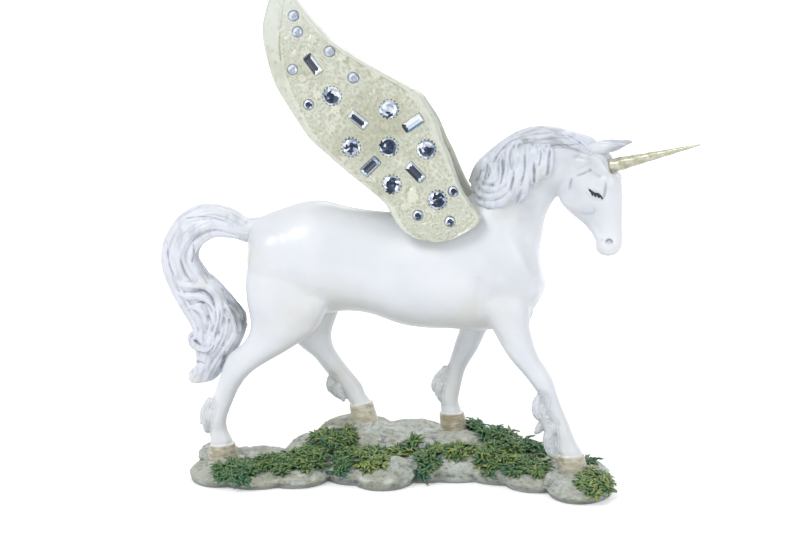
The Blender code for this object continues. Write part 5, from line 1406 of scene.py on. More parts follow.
def make_rock():
    """The rocky base, flat underneath."""
    form = bmesh.new()
    for x, y, rx, ry, height in ROCKS:
        sunk = ROCK_SUNK * height
        lump(form, (x, y, sunk), (rx, ry, height - sunk))
        lump(form, (x, y, 0.0), (rx * ROCK_FOOT[0], ry * ROCK_FOOT[1], sunk * ROCK_FOOT[2]))
    for x, y, z, rx, ry, rz in CLUMPS:
        lump(form, (x, y, z - 1.0), (rx, ry, rz))
    mesh = mesh_from(form, "base_rock", *ROCK_SKIN)
    places, normals = points_of(mesh)
    flat = places * (0.7, 0.7, 2.2)
    cracks = 1 - smooth_step(np.abs(mottle(flat, 6.0, 3, 2.0)), 0.0, 0.14)
    pits = smooth_step(mottle(places, 1.7, 2, 7.0), 0.25, 0.7)
    rough = (0.6 * mottle(places, 7.0, 3) + 0.4 * np.abs(mottle(places, 3.0, 2, 5.0))
             + 0.22 * mottle(flat, 2.0, 3, 3.0) - 0.15 - 0.3 * cracks - 0.3 * pits)
    places = places + normals * (rough * smooth_step(places[:, 2], 0.2, 2.0))[:, None]
    places[:, 2] = np.maximum(places[:, 2], 0.0)
    set_points(mesh, places)
    mesh = fewer(mesh, MOST_TRIANGLES["base_rock"])
    places, normals = points_of(mesh)
    flat = places * (0.7, 0.7, 2.2)
    colours = mixed(ROCK_PALE, ROCK_WARM, 0.4 + 0.9 * mottle(places, 12.0))
    colours = layered(colours, [
        (ROCK_BRUSHED, 0.8, mottle(flat, 5.0, 3, 8.0), 0.05, 0.6),
        (ROCK_DARK_AND_SHADE, 0.55, mottle(flat, 1.6, 3), 0.05, 0.7),
        # Painted shade in the hollows and cracks
        (ROCK_DARK_AND_SHADE, 0.65, hollows(mesh, 24), 0.02, 0.6),
        (ROCK_DARK_AND_SHADE, 0.4, hollows(mesh, 3), 0.01, 0.12),
        # Painted shade along the bottom
        (ROCK_DARK_AND_SHADE, 0.6, -places[:, 2], -1.8, -0.3)])
    # Dark green under the grass: the patch's own paint, and painted shade beneath the blades
    colours = mixed(colours, GRASS_DARK_AND_SHADE, 0.92 * under_grass(places) * smooth_step(normals[:, 2], 0.15, 0.55))
    paint(mesh, colours)
    return piece("base_rock", mesh, finish=ROCK_PAINT)


def add_blade(form, spot, up, away, length, width, colours, tint):
    """One curved leaf: it rises from its root and bends over towards its tip."""
    steps = 4
    side = up.cross(away).normalized()
    made = []
    for i in range(steps + 1):
        t = i / steps
        middle = spot + away * (length * t * (0.5 + 0.4 * t)) + up * (length * (1.0 * t - 0.75 * t * t))
        half = width * (0.5 + 1.2 * t - 1.62 * t * t)
        made.append([form.verts.new(p * MM) for p in (middle + side * half, middle + up * (0.35 * width),
                                                       middle - side * half)])
        # The ridge is lighter than the edges: painted highlight along the top of the leaf
        edge, ridge = mixed(tint[0], tint[1], 0.55 * t), mixed(tint[0], tint[1], min(1.0, 0.25 + t))
        colours.extend([edge, ridge, edge])
    for low, high in zip(made, made[1:]):
        for i in range(3):
            j = (i + 1) % 3
            form.faces.new((low[i], low[j], high[j], high[i]))
    form.faces.new(made[0][::-1])
    form.faces.new(made[-1])


def make_grass(rock):
    """Clumps of painted grass on the rocks."""
    tree = BVHTree.FromObject(rock, bpy.context.evaluated_depsgraph_get())
    dice = random.Random(SEED + 2)
    form = bmesh.new()
    colours = []
    hooves = [((HOOVES[name][0] + HOOVES[name][2]) / 2, side * LEG_OUT) for name, _, side in LEGS]
    for x, y, rx, ry, yellow in GRASS:
        tufts = max(3, round(pi * rx * ry * BLADES_PER_MM2 / BLADES_IN_TUFT))
        for _ in range(tufts):
            angle, reach = dice.uniform(0, 2 * pi), dice.random() ** 0.5
            root = Vector((x + rx * reach * cos(angle), y + ry * reach * sin(angle), GRASS_AIM))
            down = dice.choice(GRASS_RAYS)
            spot, up, _, _ = tree.ray_cast((root - 80.0 * Vector(down)) * MM, Vector(down))
            if spot is None or spot.z < 0.8 * MM or abs(spot.y / MM - y) > ry + 1.5:
                continue
            spot = spot / MM - 0.3 * up
            if min(((spot.x - hx) ** 2 + (spot.y - hy) ** 2) ** 0.5 for hx, hy in hooves) < GRASS_FROM_HOOF:
                continue
            spin = dice.uniform(0, 2 * pi)
            golden = yellow * dice.uniform(0.2, 1.3)
            # Tufts on steep ground get bluer, darker leaves and less yellow tips: painted shade where less
            # light falls
            steep_shade = float(smooth_step(1 - up.z, 0.25, 0.75))
            for k in range(BLADES_IN_TUFT):
                turn = spin + 2 * pi * k / BLADES_IN_TUFT + dice.uniform(-0.35, 0.35)
                away = Vector((cos(turn), sin(turn), 0.0))
                away = (away - away.dot(up) * up).normalized()
                # Darker at the root: the grass's dark paint, and painted shade among the blades
                root_colour = mixed(GRASS_DARK_AND_SHADE, GRASS_GREEN, dice.uniform(0.0, 0.5))
                leaf = mixed(GRASS_GREEN, GRASS_SHADE_BLUE, steep_shade + dice.uniform(-0.3, 0.3))
                tip_colour = mixed(leaf, GRASS_YELLOW, golden * (1 - 0.6 * steep_shade) * dice.uniform(0.3, 1.3))
                size = dice.uniform(*BLADE_LENGTH), BLADE_WIDTH * dice.uniform(0.8, 1.3)
                add_blade(form, spot, up, away, *size, colours, (root_colour, tip_colour))
    for vert in form.verts:
        vert.co.z = max(vert.co.z, 0.0)
    mesh = mesh_of(form, "grass")
    paint(mesh, np.array(colours))
    return piece("grass", mesh, finish=GRASS_PAINT)


# The horn
def horn_frame():
    """The horn's own axis as +Z, from its seat on the forehead."""
    rise, turned = radians(HORN_RISE), radians(-HEAD_TURN)
    along = Vector((cos(rise) * cos(turned), cos(rise) * sin(turned), sin(rise)))
    return Matrix.Translation(Vector(HORN_SEAT) * MM) @ along.to_track_quat("Z", "Y").to_matrix().to_4x4()


def make_horn():
    """The horn with its wound flutes."""
    form = bmesh.new()
    axis = horn_frame()
    sides, levels = 48, 240
    root = GLUE_GAP - HORN_SOCKET_DEPTH
    rings, tone_and_groove_shade = [], []
    for i in range(levels + 1):
        share = i / levels
        height = root + share * (HORN_LENGTH - root)
        radius = HORN_ROOT_RADIUS + share * (HORN_TIP_RADIUS - HORN_ROOT_RADIUS)
        radius *= min(1.0, (1 - share) * 40 + 0.5)
        ring = []
        for k in range(sides):
            angle = 2 * pi * k / sides
            place = (cos(angle) * 1.5, sin(angle) * 1.5, height * 0.9)
            uneven = noise.noise(Vector(place))
            wave = abs(sin((HORN_FLUTES * angle - 2 * pi * HORN_TURNS * share + 0.8 * uneven) / 2))
            dent = 0.7 * HORN_FLUTE * (1 - wave ** 0.8)
            swell = radius * (1 - dent - 0.05 * abs(noise.noise(Vector(place) * 2.5)))
            ring.append(axis @ (Vector((cos(angle) * swell, sin(angle) * swell, height)) * MM) / MM)
            # Paler on the flutes' ridges and darker in their grooves: painted shade, over the paint's uneven
            # tone
            tone_and_groove_shade.append(0.15 + 0.55 * wave + 0.9 * uneven)
        rings.append(ring)
    skin(form, rings)
    mesh = mesh_of(form, "horn_spiral")
    paint(mesh, mixed(GOLD_DEEP_AND_SHADE, GOLD_PALE, np.array(tone_and_groove_shade)))
    return piece("horn_spiral", mesh, ("horn",), GOLD_PAINT)


# The wings
# Rosettes on the field: middle x, z and radius
ROSETTES = [
    (-29.5, 158.3, 1.3), (-24.9, 161.8, 1.1), (-19.0, 152.2, 1.2), (-7.1, 146.8, 1.6), (-20.9, 134.3, 1.4),
    (-7.8, 138.7, 1.3), (5.5, 140.0, 1.5), (-15.6, 133.3, 1.1), (16.4, 120.9, 1.2), (21.0, 107.2, 1.2),
    (-32.0, 154.0, 1.2), (-15.2, 145.2, 1.1), (-3.6, 128.6, 1.2), (-32.8, 144.9, 1.2), (-22.6, 127.4, 1.3),
    (13.6, 99.9, 1.1), (3.7, 100.5, 1.1), (-7.5, 110.1, 1.1), (11.5, 129.4, 1.2), (-27.5, 139.0, 1.2),
]
# The large drop low on the field: its middle and half sizes
WING_DROP = ((6.7, 104.9), (1.7, 3.0))
# Fine beads: how many places are tried, between which heights, and their radii
FIELD_TRIES = 1900
FIELD_HEIGHTS = (93.0, 172.0)
FIELD_BEADS = (0.34, 0.4, 0.5, 0.65)
# Points across the wing, and the height below which its back follows the body
WING_STEPS = 190
WING_NEAR_BODY = 132.0
# A crease down the upper part of the wing: x, z
WING_CREASE = [(-39.6, 176.0), (-39.9, 172.2), (-40.1, 169.4), (-40.7, 165.2), (-41.1, 161.0), (-41.3, 156.4),
               (-40.6, 151.0)]


def lifted(z):
    """A height of the wing's tables, stretched above the foot to the wing's length."""
    return WING_FOOT + (z - WING_FOOT) * WING_LENGTH / WING_DRAWN


WING_ROWS = np.array(smooth_rows([(lifted(z), *row) for z, *row in WING], 13))


def wing_edges(z, columns=(1, 2)):
    """The wing's trailing x and leading x at a height, and its rims' widths with columns 3 and 4."""
    return [np.interp(z, WING_ROWS[:, 0], WING_ROWS[:, column]) for column in columns]


def wing_face(x, z):
    """How far out the sunken field of the wing lies."""
    trailing, leading = wing_edges(z)
    share = np.clip((x - trailing) / (leading - trailing), 0.0, 1.0)
    return (WING_FACE_OUT - WING_LEAN * (z - WING_FOOT) + WING_TOE * (leading - x)
            + WING_CAMBER * np.sin(pi * share))


def sweep(side):
    """The left wing is set slightly lower and further back than the right one."""
    if side < 0:
        return Matrix.Identity(4)
    pivot = Matrix.Translation((WING_PAD[0], 0.0, WING_PAD[1]))
    lower = Matrix.Translation((0.0, 0.0, -LEFT_WING_DROP))
    return lower @ pivot @ Matrix.Rotation(radians(-LEFT_WING_SWEEP), 4, "Y") @ pivot.inverted()


def seat_frame(x, z, side, tilt=0.0):
    """A frame on the wing's field at x, z, with +Z pointing out of it."""
    step = 0.5
    along_x = (wing_face(x + step, z) - wing_face(x - step, z)) / (2 * step)
    along_z = (wing_face(x, z + step) - wing_face(x, z - step)) / (2 * step)
    out = Vector((-along_x, side, -along_z)).normalized()
    right = Vector((cos(radians(tilt)), 0.0, sin(radians(tilt))))
    right = (right - right.dot(out) * out).normalized()
    turn = Matrix((right, out.cross(right), out)).transposed().to_4x4()
    swept = sweep(side)
    swept.translation *= MM
    return swept @ Matrix.Translation(Vector((x, side * wing_face(x, z), z)) * MM) @ turn


def stone_gap(x, z):
    """Distance from the nearest stone's edge at each place, below 0 inside it."""
    gap = np.full(np.shape(x), 1e9)
    for places, size in ((ROUND_GEMS, ROUND_GEM), (SMALL_GEMS, SMALL_GEM)):
        for gx, gz in places:
            gap = np.minimum(gap, np.hypot(x - gx, z - lifted(gz)) - size / 2)
    for gx, gz, tilt in BAGUETTES:
        c, s = cos(radians(tilt)), sin(radians(tilt))
        gz = lifted(gz)
        along, across = (x - gx) * c + (z - gz) * s, (z - gz) * c - (x - gx) * s
        dx, dz = np.abs(along) - BAGUETTE_LENGTH / 2, np.abs(across) - BAGUETTE_WIDTH / 2
        box = np.hypot(np.maximum(dx, 0), np.maximum(dz, 0)) + np.minimum(np.maximum(dx, dz), 0)
        gap = np.minimum(gap, box)
    return gap


def field_beads(dice):
    """Fine beads strewn over the wing's field, and its rosettes: x, z, radius, height."""
    beads = []
    for x, z, radius in ROSETTES:
        beads.append((x, z, 0.5 * radius, 0.6))
        for k in range(6):
            angle = pi * k / 3 + 0.3
            beads.append((x + 0.85 * radius * cos(angle), z + 0.85 * radius * sin(angle), 0.45 * radius, 0.5))
    for _ in range(FIELD_TRIES):
        z = dice.uniform(*FIELD_HEIGHTS)
        trailing, leading, rim_t, rim_l = wing_edges(z, (1, 2, 3, 4))
        low, high = trailing + rim_t + 0.8, leading - rim_l - 0.8
        if high <= low:
            continue
        x = dice.uniform(low, high)
        radius = dice.choice(FIELD_BEADS)
        if stone_gap(x, z) < radius + 0.6:
            continue
        if all((x - bx) ** 2 + (z - bz) ** 2 > (1.2 * (radius + br) + 0.3) ** 2 for bx, bz, br, _ in beads):
            beads.append((x, z, radius, 0.4 * radius))
    return beads


def wing_relief(x, z, trailing, leading, rim_t, rim_l):
    """Height of the wing's ornament above its field, in millimetres."""
    dice = random.Random(SEED + 3)
    from_t, from_l = x - trailing, leading - x
    rim = np.maximum(1 - smooth_step(from_t - rim_t, -0.3, 1.3), 1 - smooth_step(from_l - rim_l, -0.3, 1.3))
    swell = np.where(from_t < from_l, from_t / np.maximum(rim_t, 0.1), from_l / np.maximum(rim_l, 0.1))
    height = rim * (WING_RIM_RISE + 0.18 * np.sin(pi * np.clip(swell, 0.0, 1.0)))
    field = 1 - rim
    ornament = np.zeros(x.shape)
    for bx, bz, radius, rise in field_beads(dice):
        near = (np.abs(x - bx) < radius) & (np.abs(z - bz) < radius)
        part = 1 - ((x[near] - bx) ** 2 + (z[near] - bz) ** 2) / radius ** 2
        ornament[near] = np.maximum(ornament[near], rise * np.sqrt(np.clip(part, 0.0, 1.0)))
    (dx, dz), (half_x, half_z) = WING_DROP
    narrow = half_x * (1.2 - 0.5 * np.clip((z - dz) / half_z, -1, 1))
    part = 1 - ((x - dx) / narrow) ** 2 - ((z - dz) / half_z) ** 2
    ornament = np.maximum(ornament, 0.8 * np.sqrt(np.clip(part, 0.0, 1.0)))
    flat = np.stack((x.ravel(), np.zeros(x.size), z.ravel()), axis=1)
    scrolls = np.zeros(x.shape)
    for size, shift, rise in ((3.8, 3.0, 0.32), (2.4, 17.0, 0.2)):
        level = mottle(flat, size, 1, shift).reshape(x.shape)
        scrolls = np.maximum(scrolls, rise * bell(level, 0.08))
    gap = stone_gap(x, z)
    scrolls *= smooth_step(gap, 0.2, 0.9)
    bezel = 0.3 * bell(gap - 0.45, 0.3)
    pocket = 1.1 * (1 - smooth_step(gap, -0.35, 0.02))
    grain = 0.16 * mottle(flat, 0.8, 2).reshape(x.shape) * (gap > 0.3)
    crease, _ = distance_to_path(flat[:, (0, 2)], [(cx, lifted(cz)) for cx, cz in WING_CREASE])
    crease = crease.reshape(x.shape)
    height = height * (1 - 0.7 * bell(crease, 0.3))
    raised = field * (np.maximum(np.maximum(ornament, scrolls), bezel) + grain)
    # The last value is the raised ornament, which gets painted highlight
    return height + raised - pocket, rim, crease, field * smooth_step(ornament, 0.02, 0.35)


def wing_colours(mesh, colours):
    """The wing's paints with painted shade in its hollows and on its leading side faces, stains, darker round
    its middle, paler towards the tip.
    """
    places, normals = points_of(mesh)
    middle = np.hypot((places[:, 0] + 8.0) / 14.0, (places[:, 2] - 128.0) / 16.0)
    return layered(colours, [
        # Painted shade in the hollows
        (PEARL_STAIN_AND_SHADE, 0.65, hollows(mesh, 8), 0.01, 0.16),
        (PEARL_STAIN_AND_SHADE, 0.32, mottle(places, 9.0, 3), 0.0, 0.7),
        (PEARL_STAIN_AND_SHADE, 0.55, mottle(places, 1.3, 2, 6.0), 0.25, 0.8),
        # Darker round the middle of the wing
        (PEARL_STAIN_AND_SHADE, 0.4, 1.0 - middle, 0.0, 0.6),
        # Painted shade on the side faces towards the leading edge
        (PEARL_STAIN_AND_SHADE, 0.12, normals[:, 0], 0.3, 0.8),
        (PEARL_TIP, 0.55, places[:, 2], 152.0, 172.0)])


def make_wing(side, tree):
    """One wing with its smooth rim and its field of small ornament."""
    across = WING_STEPS
    spread = np.linspace(0.0, 1.0, across)
    spread = 0.6 * spread + 0.4 * (1 - np.cos(pi * spread)) / 2
    z, trailing, leading, rim_t, rim_l = (WING_ROWS[:, column][:, None] for column in range(5))
    width = leading - trailing
    rim_t, rim_l = np.minimum(rim_t, 0.3 * width), np.minimum(rim_l, 0.3 * width)
    x = trailing + width * spread
    z = np.repeat(z, across, axis=1)
    relief, rim, crease, beads = wing_relief(x, z, trailing, leading, rim_t, rim_l)
    edge = np.minimum(1.4, 0.3 * width)
    from_edge = np.clip(np.minimum(x - trailing, leading - x) / edge, 0.0, 1.0)
    full = np.sqrt(np.clip(1 - (1 - from_edge) ** 2, 0.0, 1.0))
    middle = wing_face(x, z) - WING_THICKNESS / 2
    outer = middle + full * (WING_THICKNESS / 2 + relief)
    (pad_x, pad_z), (half_x, half_z) = WING_PAD, WING_PAD_HALVES
    pad = np.clip(1 - ((x - pad_x) / half_x) ** 2 - ((z - pad_z) / half_z) ** 2, 0, 1)
    feather = 0.16 * np.cos(2 * pi * 8 * spread) * (1 - rim)
    inner = middle - full * (WING_THICKNESS / 2 + WING_PAD_DEPTH * pad + feather)
    place = np.array(sweep(side))
    px = place[0, 0] * x + place[0, 2] * z + place[0, 3]
    pz = place[2, 0] * x + place[2, 2] * z + place[2, 3]
    low_rows = int(np.searchsorted(WING_ROWS[:, 0], WING_NEAR_BODY))
    reach = 0.8
    for i in range(low_rows):
        for j in range(across):
            near = [surface_out(tree, px[i, j] + dx, pz[i, j] + dz, side)
                    for dx, dz in ((0, 0), (reach, 0), (-reach, 0), (0, reach), (0, -reach))]
            near = [value for value in near if value is not None]
            if near:
                inner[i, j] = max(inner[i, j], max(near) + WING_SEAT_GAP)
                least = (0.5 + full[i, j]) * WING_LEAST + full[i, j] * relief[i, j]
                outer[i, j] = max(outer[i, j], inner[i, j] + least)
    back = slice(across - 2, 0, -3)
    form = bmesh.new()
    rings = []
    for i in range(len(x)):
        ring = [Vector((px[i, j], side * outer[i, j], pz[i, j])) for j in range(across)]
        ring += [Vector((px[i, j], side * inner[i, j], pz[i, j])) for j in range(across)[back]]
        rings.append(ring)
    skin(form, rings)
    word = "left" if side > 0 else "right"
    mesh = mesh_of(form, f"wing_{word}_carved")
    front = mixed(PEARL_FIELD, PEARL_PALE, rim).reshape(-1, 3)
    # Painted highlight on the raised ornament and beads
    bright = np.maximum(0.4 * (1 - rim) * smooth_step(relief, 0.1, 0.4), BEADS_HIGHLIGHT * beads)
    front = mixed(front, PEARL_HIGHLIGHT, bright.ravel())
    # Painted shadow along the crease
    front = mixed(front, PEARL_STAIN_AND_SHADE, (0.85 * bell(crease, 0.22)).ravel()).reshape(*x.shape, 3)
    rear = np.broadcast_to(np.array(PEARL_PALE) * 0.95, (len(x), len(range(across)[back]), 3))
    colours = np.concatenate((front, rear), axis=1).reshape(-1, 3)
    paint(mesh, wing_colours(mesh, colours))
    return piece(f"wing_{word}_carved", mesh, (f"wing_{word}",), PEARL_PAINT)


# The stones
def stone_mesh(name, rings, tops, nearest, frame_at, shade):
    """A stone from rings of points, closed above by facets that meet at its top points."""
    form = bmesh.new()
    made = [[form.verts.new(frame_at @ (p * MM)) for p in ring] for ring in rings]
    form.faces.new(made[0][::-1])
    for low, high in zip(made, made[1:]):
        for i in range(len(low)):
            j = (i + 1) % len(low)
            form.faces.new((low[i], low[j], high[j], high[i]))
    peaks = [form.verts.new(frame_at @ (p * MM)) for p in tops]
    last = made[-1]
    for i in range(len(last)):
        j = (i + 1) % len(last)
        corners = [last[i], last[j], peaks[nearest(j)], peaks[nearest(i)]]
        form.faces.new(corners if nearest(i) != nearest(j) else corners[:3])
    bmesh.ops.recalc_face_normals(form, faces=form.faces)
    back = frame_at.inverted()
    colours = []
    for face in form.faces:
        middle = (back @ face.calc_center_median()) / MM
        colours.extend([shade(middle)] * len(face.verts))
    mesh = mesh_of(form, name)
    paint(mesh, colours, "CORNER")
    return mesh


def ring_of(sides, radius, height, spin=0.0):
    """Points around a circle."""
    return [Vector((radius * c, radius * s, height)) for c, s in around(sides, spin)]


def facet_shade(dice, size, dark, small):
    """A facet's colour, a painted reflection: navy near the dark places, white and pale blue elsewhere, in
    broad facets.
    """
    chosen = {}

    def shade(middle):
        ring = round(8 * middle.xy.length / size)
        fine = 8 if small else 12
        sector = int((np.arctan2(middle.y, middle.x) / (2 * pi) + 1) * fine + 0.5 * (ring % 2)) % fine
        if (ring, sector) not in chosen:
            near = any(((middle.x / size - x) ** 2 + (middle.y / size - y) ** 2) ** 0.5 < DARK_SPREAD * reach
                       for x, y, reach in dark)
            # Painted dark reflection near the dark places
            if near and dice.random() < 0.95:
                tone = mixed(DARK_REFLECTION, STONE_SHADE, dice.random() ** 4 * 0.4)
            elif small:
                # Painted glint on the small stones
                glint = (middle.y - middle.x > 0.2 * size) and ring < 4
                tone = mixed(STONE_LILAC, WHITE_REFLECTION, 0.9 if glint else dice.choice((0.0, 0.15, 0.4)))
            elif ring > 3:
                tone = mixed(STONE_SHADE, WHITE_REFLECTION, dice.choice((0.0, 0.0, 0.3, 0.6, 1.0)))
            else:
                tone = mixed(STONE_SHADE, WHITE_REFLECTION, dice.choice((0.1, 0.4, 0.7, 0.9, 1.0)))
            chosen[(ring, sector)] = tone
        return chosen[(ring, sector)]
    return shade


# Each baguette's facets across its width, then its two ends, in painted reflections: white, pale, grey, navy
# or blue.
BANDS = ["wwnnnnwn", "wpnnnpww", "wwwppbwn", "gnnnnpgp", "pnnnnnpw"]
# Where a stone shows a painted dark reflection: x, y and reach as shares of its size.
DARK_SPREAD = 1.3
ROUND_DARK = [
    [(-0.18, -0.08, 0.17), (0.02, -0.2, 0.2), (-0.05, 0.1, 0.1), (0.22, -0.12, 0.09)],
    [(0.02, -0.36, 0.17), (0.12, -0.32, 0.1)],
    [(0.06, 0.0, 0.19), (0.26, 0.02, 0.14), (-0.22, 0.03, 0.12), (0.0, -0.22, 0.1)],
    [(0.0, 0.0, 0.27), (-0.36, 0.1, 0.1), (0.16, -0.18, 0.14)],
    [(-0.02, -0.12, 0.2), (-0.3, 0.0, 0.12), (0.2, -0.1, 0.17)],
    [(0.06, 0.2, 0.15), (0.03, -0.04, 0.2), (-0.04, -0.3, 0.15), (0.2, 0.02, 0.1)],
    [(-0.12, 0.14, 0.13), (0.1, -0.1, 0.19), (-0.08, -0.28, 0.14), (0.18, 0.18, 0.1)],
]
# Facets round each stone, and the beads of the large round ones: how many, size, and place past the edge
STONE_SIDES = 16
STONE_BEADS = 16
BEAD_SHARE = 0.05
BEAD_PLACE = (0.12, 0.05)


def round_stone(name, diameter, sides, frame_at, dice, dark, small):
    """A flat-backed round stone with a domed crown of kite facets."""
    radius, crown = diameter / 2, CROWN_SHARE * diameter
    half = pi / sides
    rings = [ring_of(sides, BACK_SHARE * radius, GLUE_GAP - POCKET_DEPTH),
             ring_of(sides, radius, GIRDLE_RISE - GIRDLE_THICKNESS), ring_of(sides, radius, GIRDLE_RISE),
             ring_of(sides, KITE_SHARE * radius, GIRDLE_RISE + 0.6 * crown, half),
             ring_of(sides, TABLE_SHARE * radius, GIRDLE_RISE + crown, 2 * half),
             ring_of(sides, 0.3 * radius, GIRDLE_RISE + crown + 0.02, 3 * half)]
    top = Vector((0.0, 0.0, GIRDLE_RISE + crown + 0.03))
    shade = facet_shade(dice, diameter, dark, small)
    return stone_mesh(name, rings, [top], lambda corner: 0, frame_at, shade)


def baguette_stone(name, frame_at, dice, bands):
    """A flat-backed step-cut stone with bands from the upper long side to the lower one, and two ends."""
    length, width = BAGUETTE_LENGTH, BAGUETTE_WIDTH
    crown = STEP_CROWN_SHARE * width

    def corners(a, b, cut, height):
        a, b = a / 2, b / 2
        return [Vector((x, y, height)) for x, y in (
            (a, b - cut), (a - cut, b), (-a + cut, b), (-a, b - cut),
            (-a, -b + cut), (-a + cut, -b), (a - cut, -b), (a, -b + cut))]
    cut = CORNER_SHARE * width
    rings = [corners(0.97 * length, BACK_SHARE * width, cut, GLUE_GAP - POCKET_DEPTH),
             corners(length, width, cut, GIRDLE_RISE),
             corners(length - 0.3 * width, 0.7 * width, cut, GIRDLE_RISE + 0.7 * crown),
             corners(length - 0.6 * width, 0.42 * width, cut, GIRDLE_RISE + crown)]
    tops = [Vector((end * (length / 2 - 0.4 * width), 0.0, GIRDLE_RISE + crown + 0.02)) for end in (1, -1)]
    tones = {"w": WHITE_REFLECTION, "p": PALE_REFLECTION, "g": STONE_SHADE, "n": DARK_REFLECTION, "b": BLUE_REFLECTION}

    def shade(middle):
        if abs(middle.x) > 0.5 * length - 0.32 * width:
            letter = bands[6 if middle.x > 0 else 7]
        else:
            edges = (0.35, 0.2, 0.0, -0.2, -0.35)
            letter = bands[sum(middle.y / width < edge for edge in edges)]
        return mixed(tones[letter], WHITE_REFLECTION, 0.08 * dice.random())

    def nearest_top(corner):
        return 0 if corner in (0, 1, 6, 7) else 1
    return stone_mesh(name, rings, tops, nearest_top, frame_at, shade)


def make_stones(side):
    """All the stones of one wing, and the small beads of metal that hold them."""
    word = "left" if side > 0 else "right"
    dice = random.Random(SEED + 4)
    claws = bmesh.new()
    for kind, places, diameter, prongs in (("round", ROUND_GEMS, ROUND_GEM, STONE_BEADS),
                                           ("small", SMALL_GEMS, SMALL_GEM, 0)):
        for number, (x, z) in enumerate(places, 1):
            frame_at = seat_frame(x, lifted(z), side)
            small = kind == "small"
            dark = ROUND_DARK[number - 1] if not small else [(0.05, -0.08, 0.24)] if number > 5 else []
            name = f"stone_{kind}_{word}_{number}"
            mesh = round_stone(name, diameter, STONE_SIDES, frame_at, dice, dark, small)
            piece(name, mesh, (f"gem_{kind}_{word}_{number}",), STONE_GLASS, smooth=False)
            out, down = BEAD_PLACE
            for spot in ring_of(prongs, diameter / 2 + out, GIRDLE_RISE - down):
                bmesh.ops.create_icosphere(claws, subdivisions=2, radius=BEAD_SHARE * diameter * MM,
                                           matrix=frame_at @ Matrix.Translation(spot * MM))
    for number, (x, z, tilt) in enumerate(BAGUETTES, 1):
        frame_at = seat_frame(x, lifted(z), side, tilt)
        mesh = baguette_stone(f"stone_baguette_{word}_{number}", frame_at, dice, BANDS[number - 1])
        piece(mesh.name, mesh, (f"gem_baguette_{word}_{number}",), STONE_GLASS, smooth=False)
    mesh = mesh_of(claws, f"stone_beads_{word}")
    paint(mesh, np.tile(PEARL_PALE, (len(mesh.vertices), 1)))
    return piece(mesh.name, mesh, finish=PEARL_PAINT)


# The studio
def add_camera():
    """The camera at the photograph's angle."""
    data = bpy.data.cameras.new("camera")
    data.lens = CAMERA_LENS
    data.sensor_width = SENSOR_WIDTH
    data.clip_start = 0.01
    made = linked("camera", data)
    azimuth, elevation = radians(CAMERA_AZIMUTH), radians(CAMERA_ELEVATION)
    away = Vector((sin(azimuth) * cos(elevation), -cos(azimuth) * cos(elevation), sin(elevation)))
    made.location = (Vector(LOOK_AT) + CAMERA_DISTANCE * away) * MM
    made.rotation_euler = away.to_track_quat("Z", "Y").to_euler()
    bpy.context.scene.camera = made


def add_lamp(name, place, size, power):
    """A soft square lamp that points at the figurine."""
    data = bpy.data.lights.new(name, "AREA")
    data.shape = "SQUARE"
    data.size = size
    data.energy = power
    made = linked(name, data)
    made.location = place
    made.rotation_euler = (Vector(place) - Vector(LOOK_AT) * MM).to_track_quat("Z", "Y").to_euler()


def seen_directly(nodes, links):
    """1 for camera, glossy and transmission rays, else 0."""
    path = nodes.new("ShaderNodeLightPath")
    total = path.outputs["Is Camera Ray"]
    for word in ("Is Glossy Ray", "Is Transmission Ray"):
        adding = nodes.new("ShaderNodeMath")
        adding.operation = "MAXIMUM"
        links.new(total, adding.inputs[0])
        links.new(path.outputs[word], adding.inputs[1])
        total = adding.outputs[0]
    return total


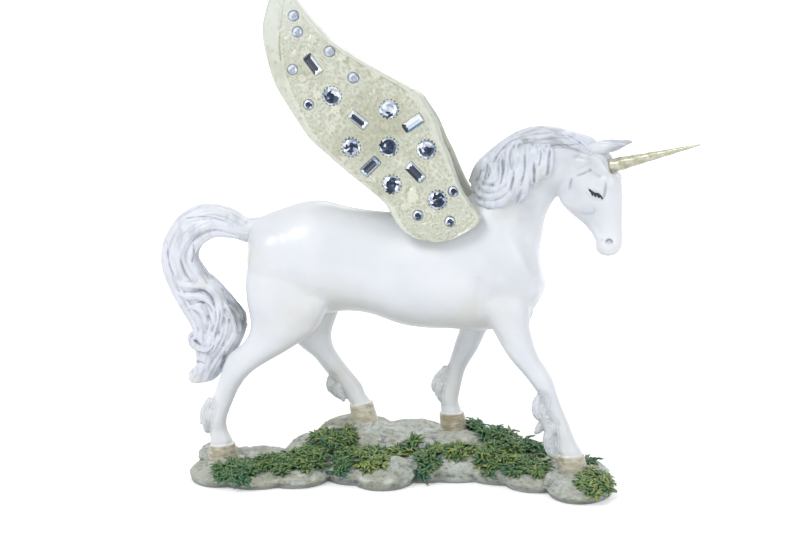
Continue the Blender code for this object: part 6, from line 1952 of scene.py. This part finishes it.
def add_world():
    """Pale surroundings, white where they are seen directly."""
    world = bpy.data.worlds.new("studio")
    bpy.context.scene.world = world
    world.use_nodes = True
    nodes, links = world.node_tree.nodes, world.node_tree.links
    soft = set_sockets(nodes["Background"], {"Color": WORLD_COLOUR, "Strength": WORLD_STRENGTH})
    bright = set_sockets(nodes.new("ShaderNodeBackground"), {"Color": PURE_WHITE, "Strength": 1.0})
    mix = nodes.new("ShaderNodeMixShader")
    links.new(seen_directly(nodes, links), mix.inputs["Fac"])
    links.new(soft.outputs["Background"], mix.inputs[1])
    links.new(bright.outputs["Background"], mix.inputs[2])
    links.new(mix.outputs["Shader"], nodes["World Output"].inputs["Surface"])


def add_floor():
    """A pale floor that glows where it is seen directly, up to white far out."""
    cover, nodes, links, shader = new_material("floor_paper")
    set_sockets(shader, {"Base Color": FLOOR_COLOUR, "Roughness": 0.9, "Emission Color": PURE_WHITE})
    place = nodes.new("ShaderNodeTexCoord").outputs["Object"]
    reach = nodes.new("ShaderNodeVectorMath")
    reach.operation = "LENGTH"
    near, far = FLOOR_GLOW_REACH
    level = set_sockets(nodes.new("ShaderNodeMapRange"),
                        {"From Min": near, "From Max": far, "To Min": FLOOR_GLOW, "To Max": 1.0})
    glow = nodes.new("ShaderNodeMath")
    glow.operation = "MULTIPLY"
    links.new(place, reach.inputs[0])
    links.new(reach.outputs["Value"], level.inputs["Value"])
    links.new(level.outputs["Result"], glow.inputs[1])
    links.new(seen_directly(nodes, links), glow.inputs[0])
    links.new(glow.outputs[0], shader.inputs["Emission Strength"])
    form = bmesh.new()
    bmesh.ops.create_grid(form, x_segments=4, y_segments=4, size=FLOOR_HALF)
    floor = linked("floor", mesh_of(form, "floor"))
    floor.location.z = -FLOOR_BELOW
    floor.data.materials.append(cover)


add_camera()
add_world()
add_floor()
for lamp, (lamp_place, lamp_size, lamp_power) in LAMPS.items():
    add_lamp(lamp, lamp_place, lamp_size, lamp_power)
horse = make_horse()
make_lashes(horse)
make_mane()
make_tail()
rock = make_rock()
make_grass(rock)
make_horn()
casting = bmesh.new()
casting.from_mesh(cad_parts["unicorn_casting"].data)
body_tree = BVHTree.FromBMesh(casting)
casting.free()
for wing_side in (-1, 1):
    make_wing(wing_side, body_tree)
    make_stones(wing_side)
scene = bpy.context.scene
scene.view_settings.view_transform = "Standard"
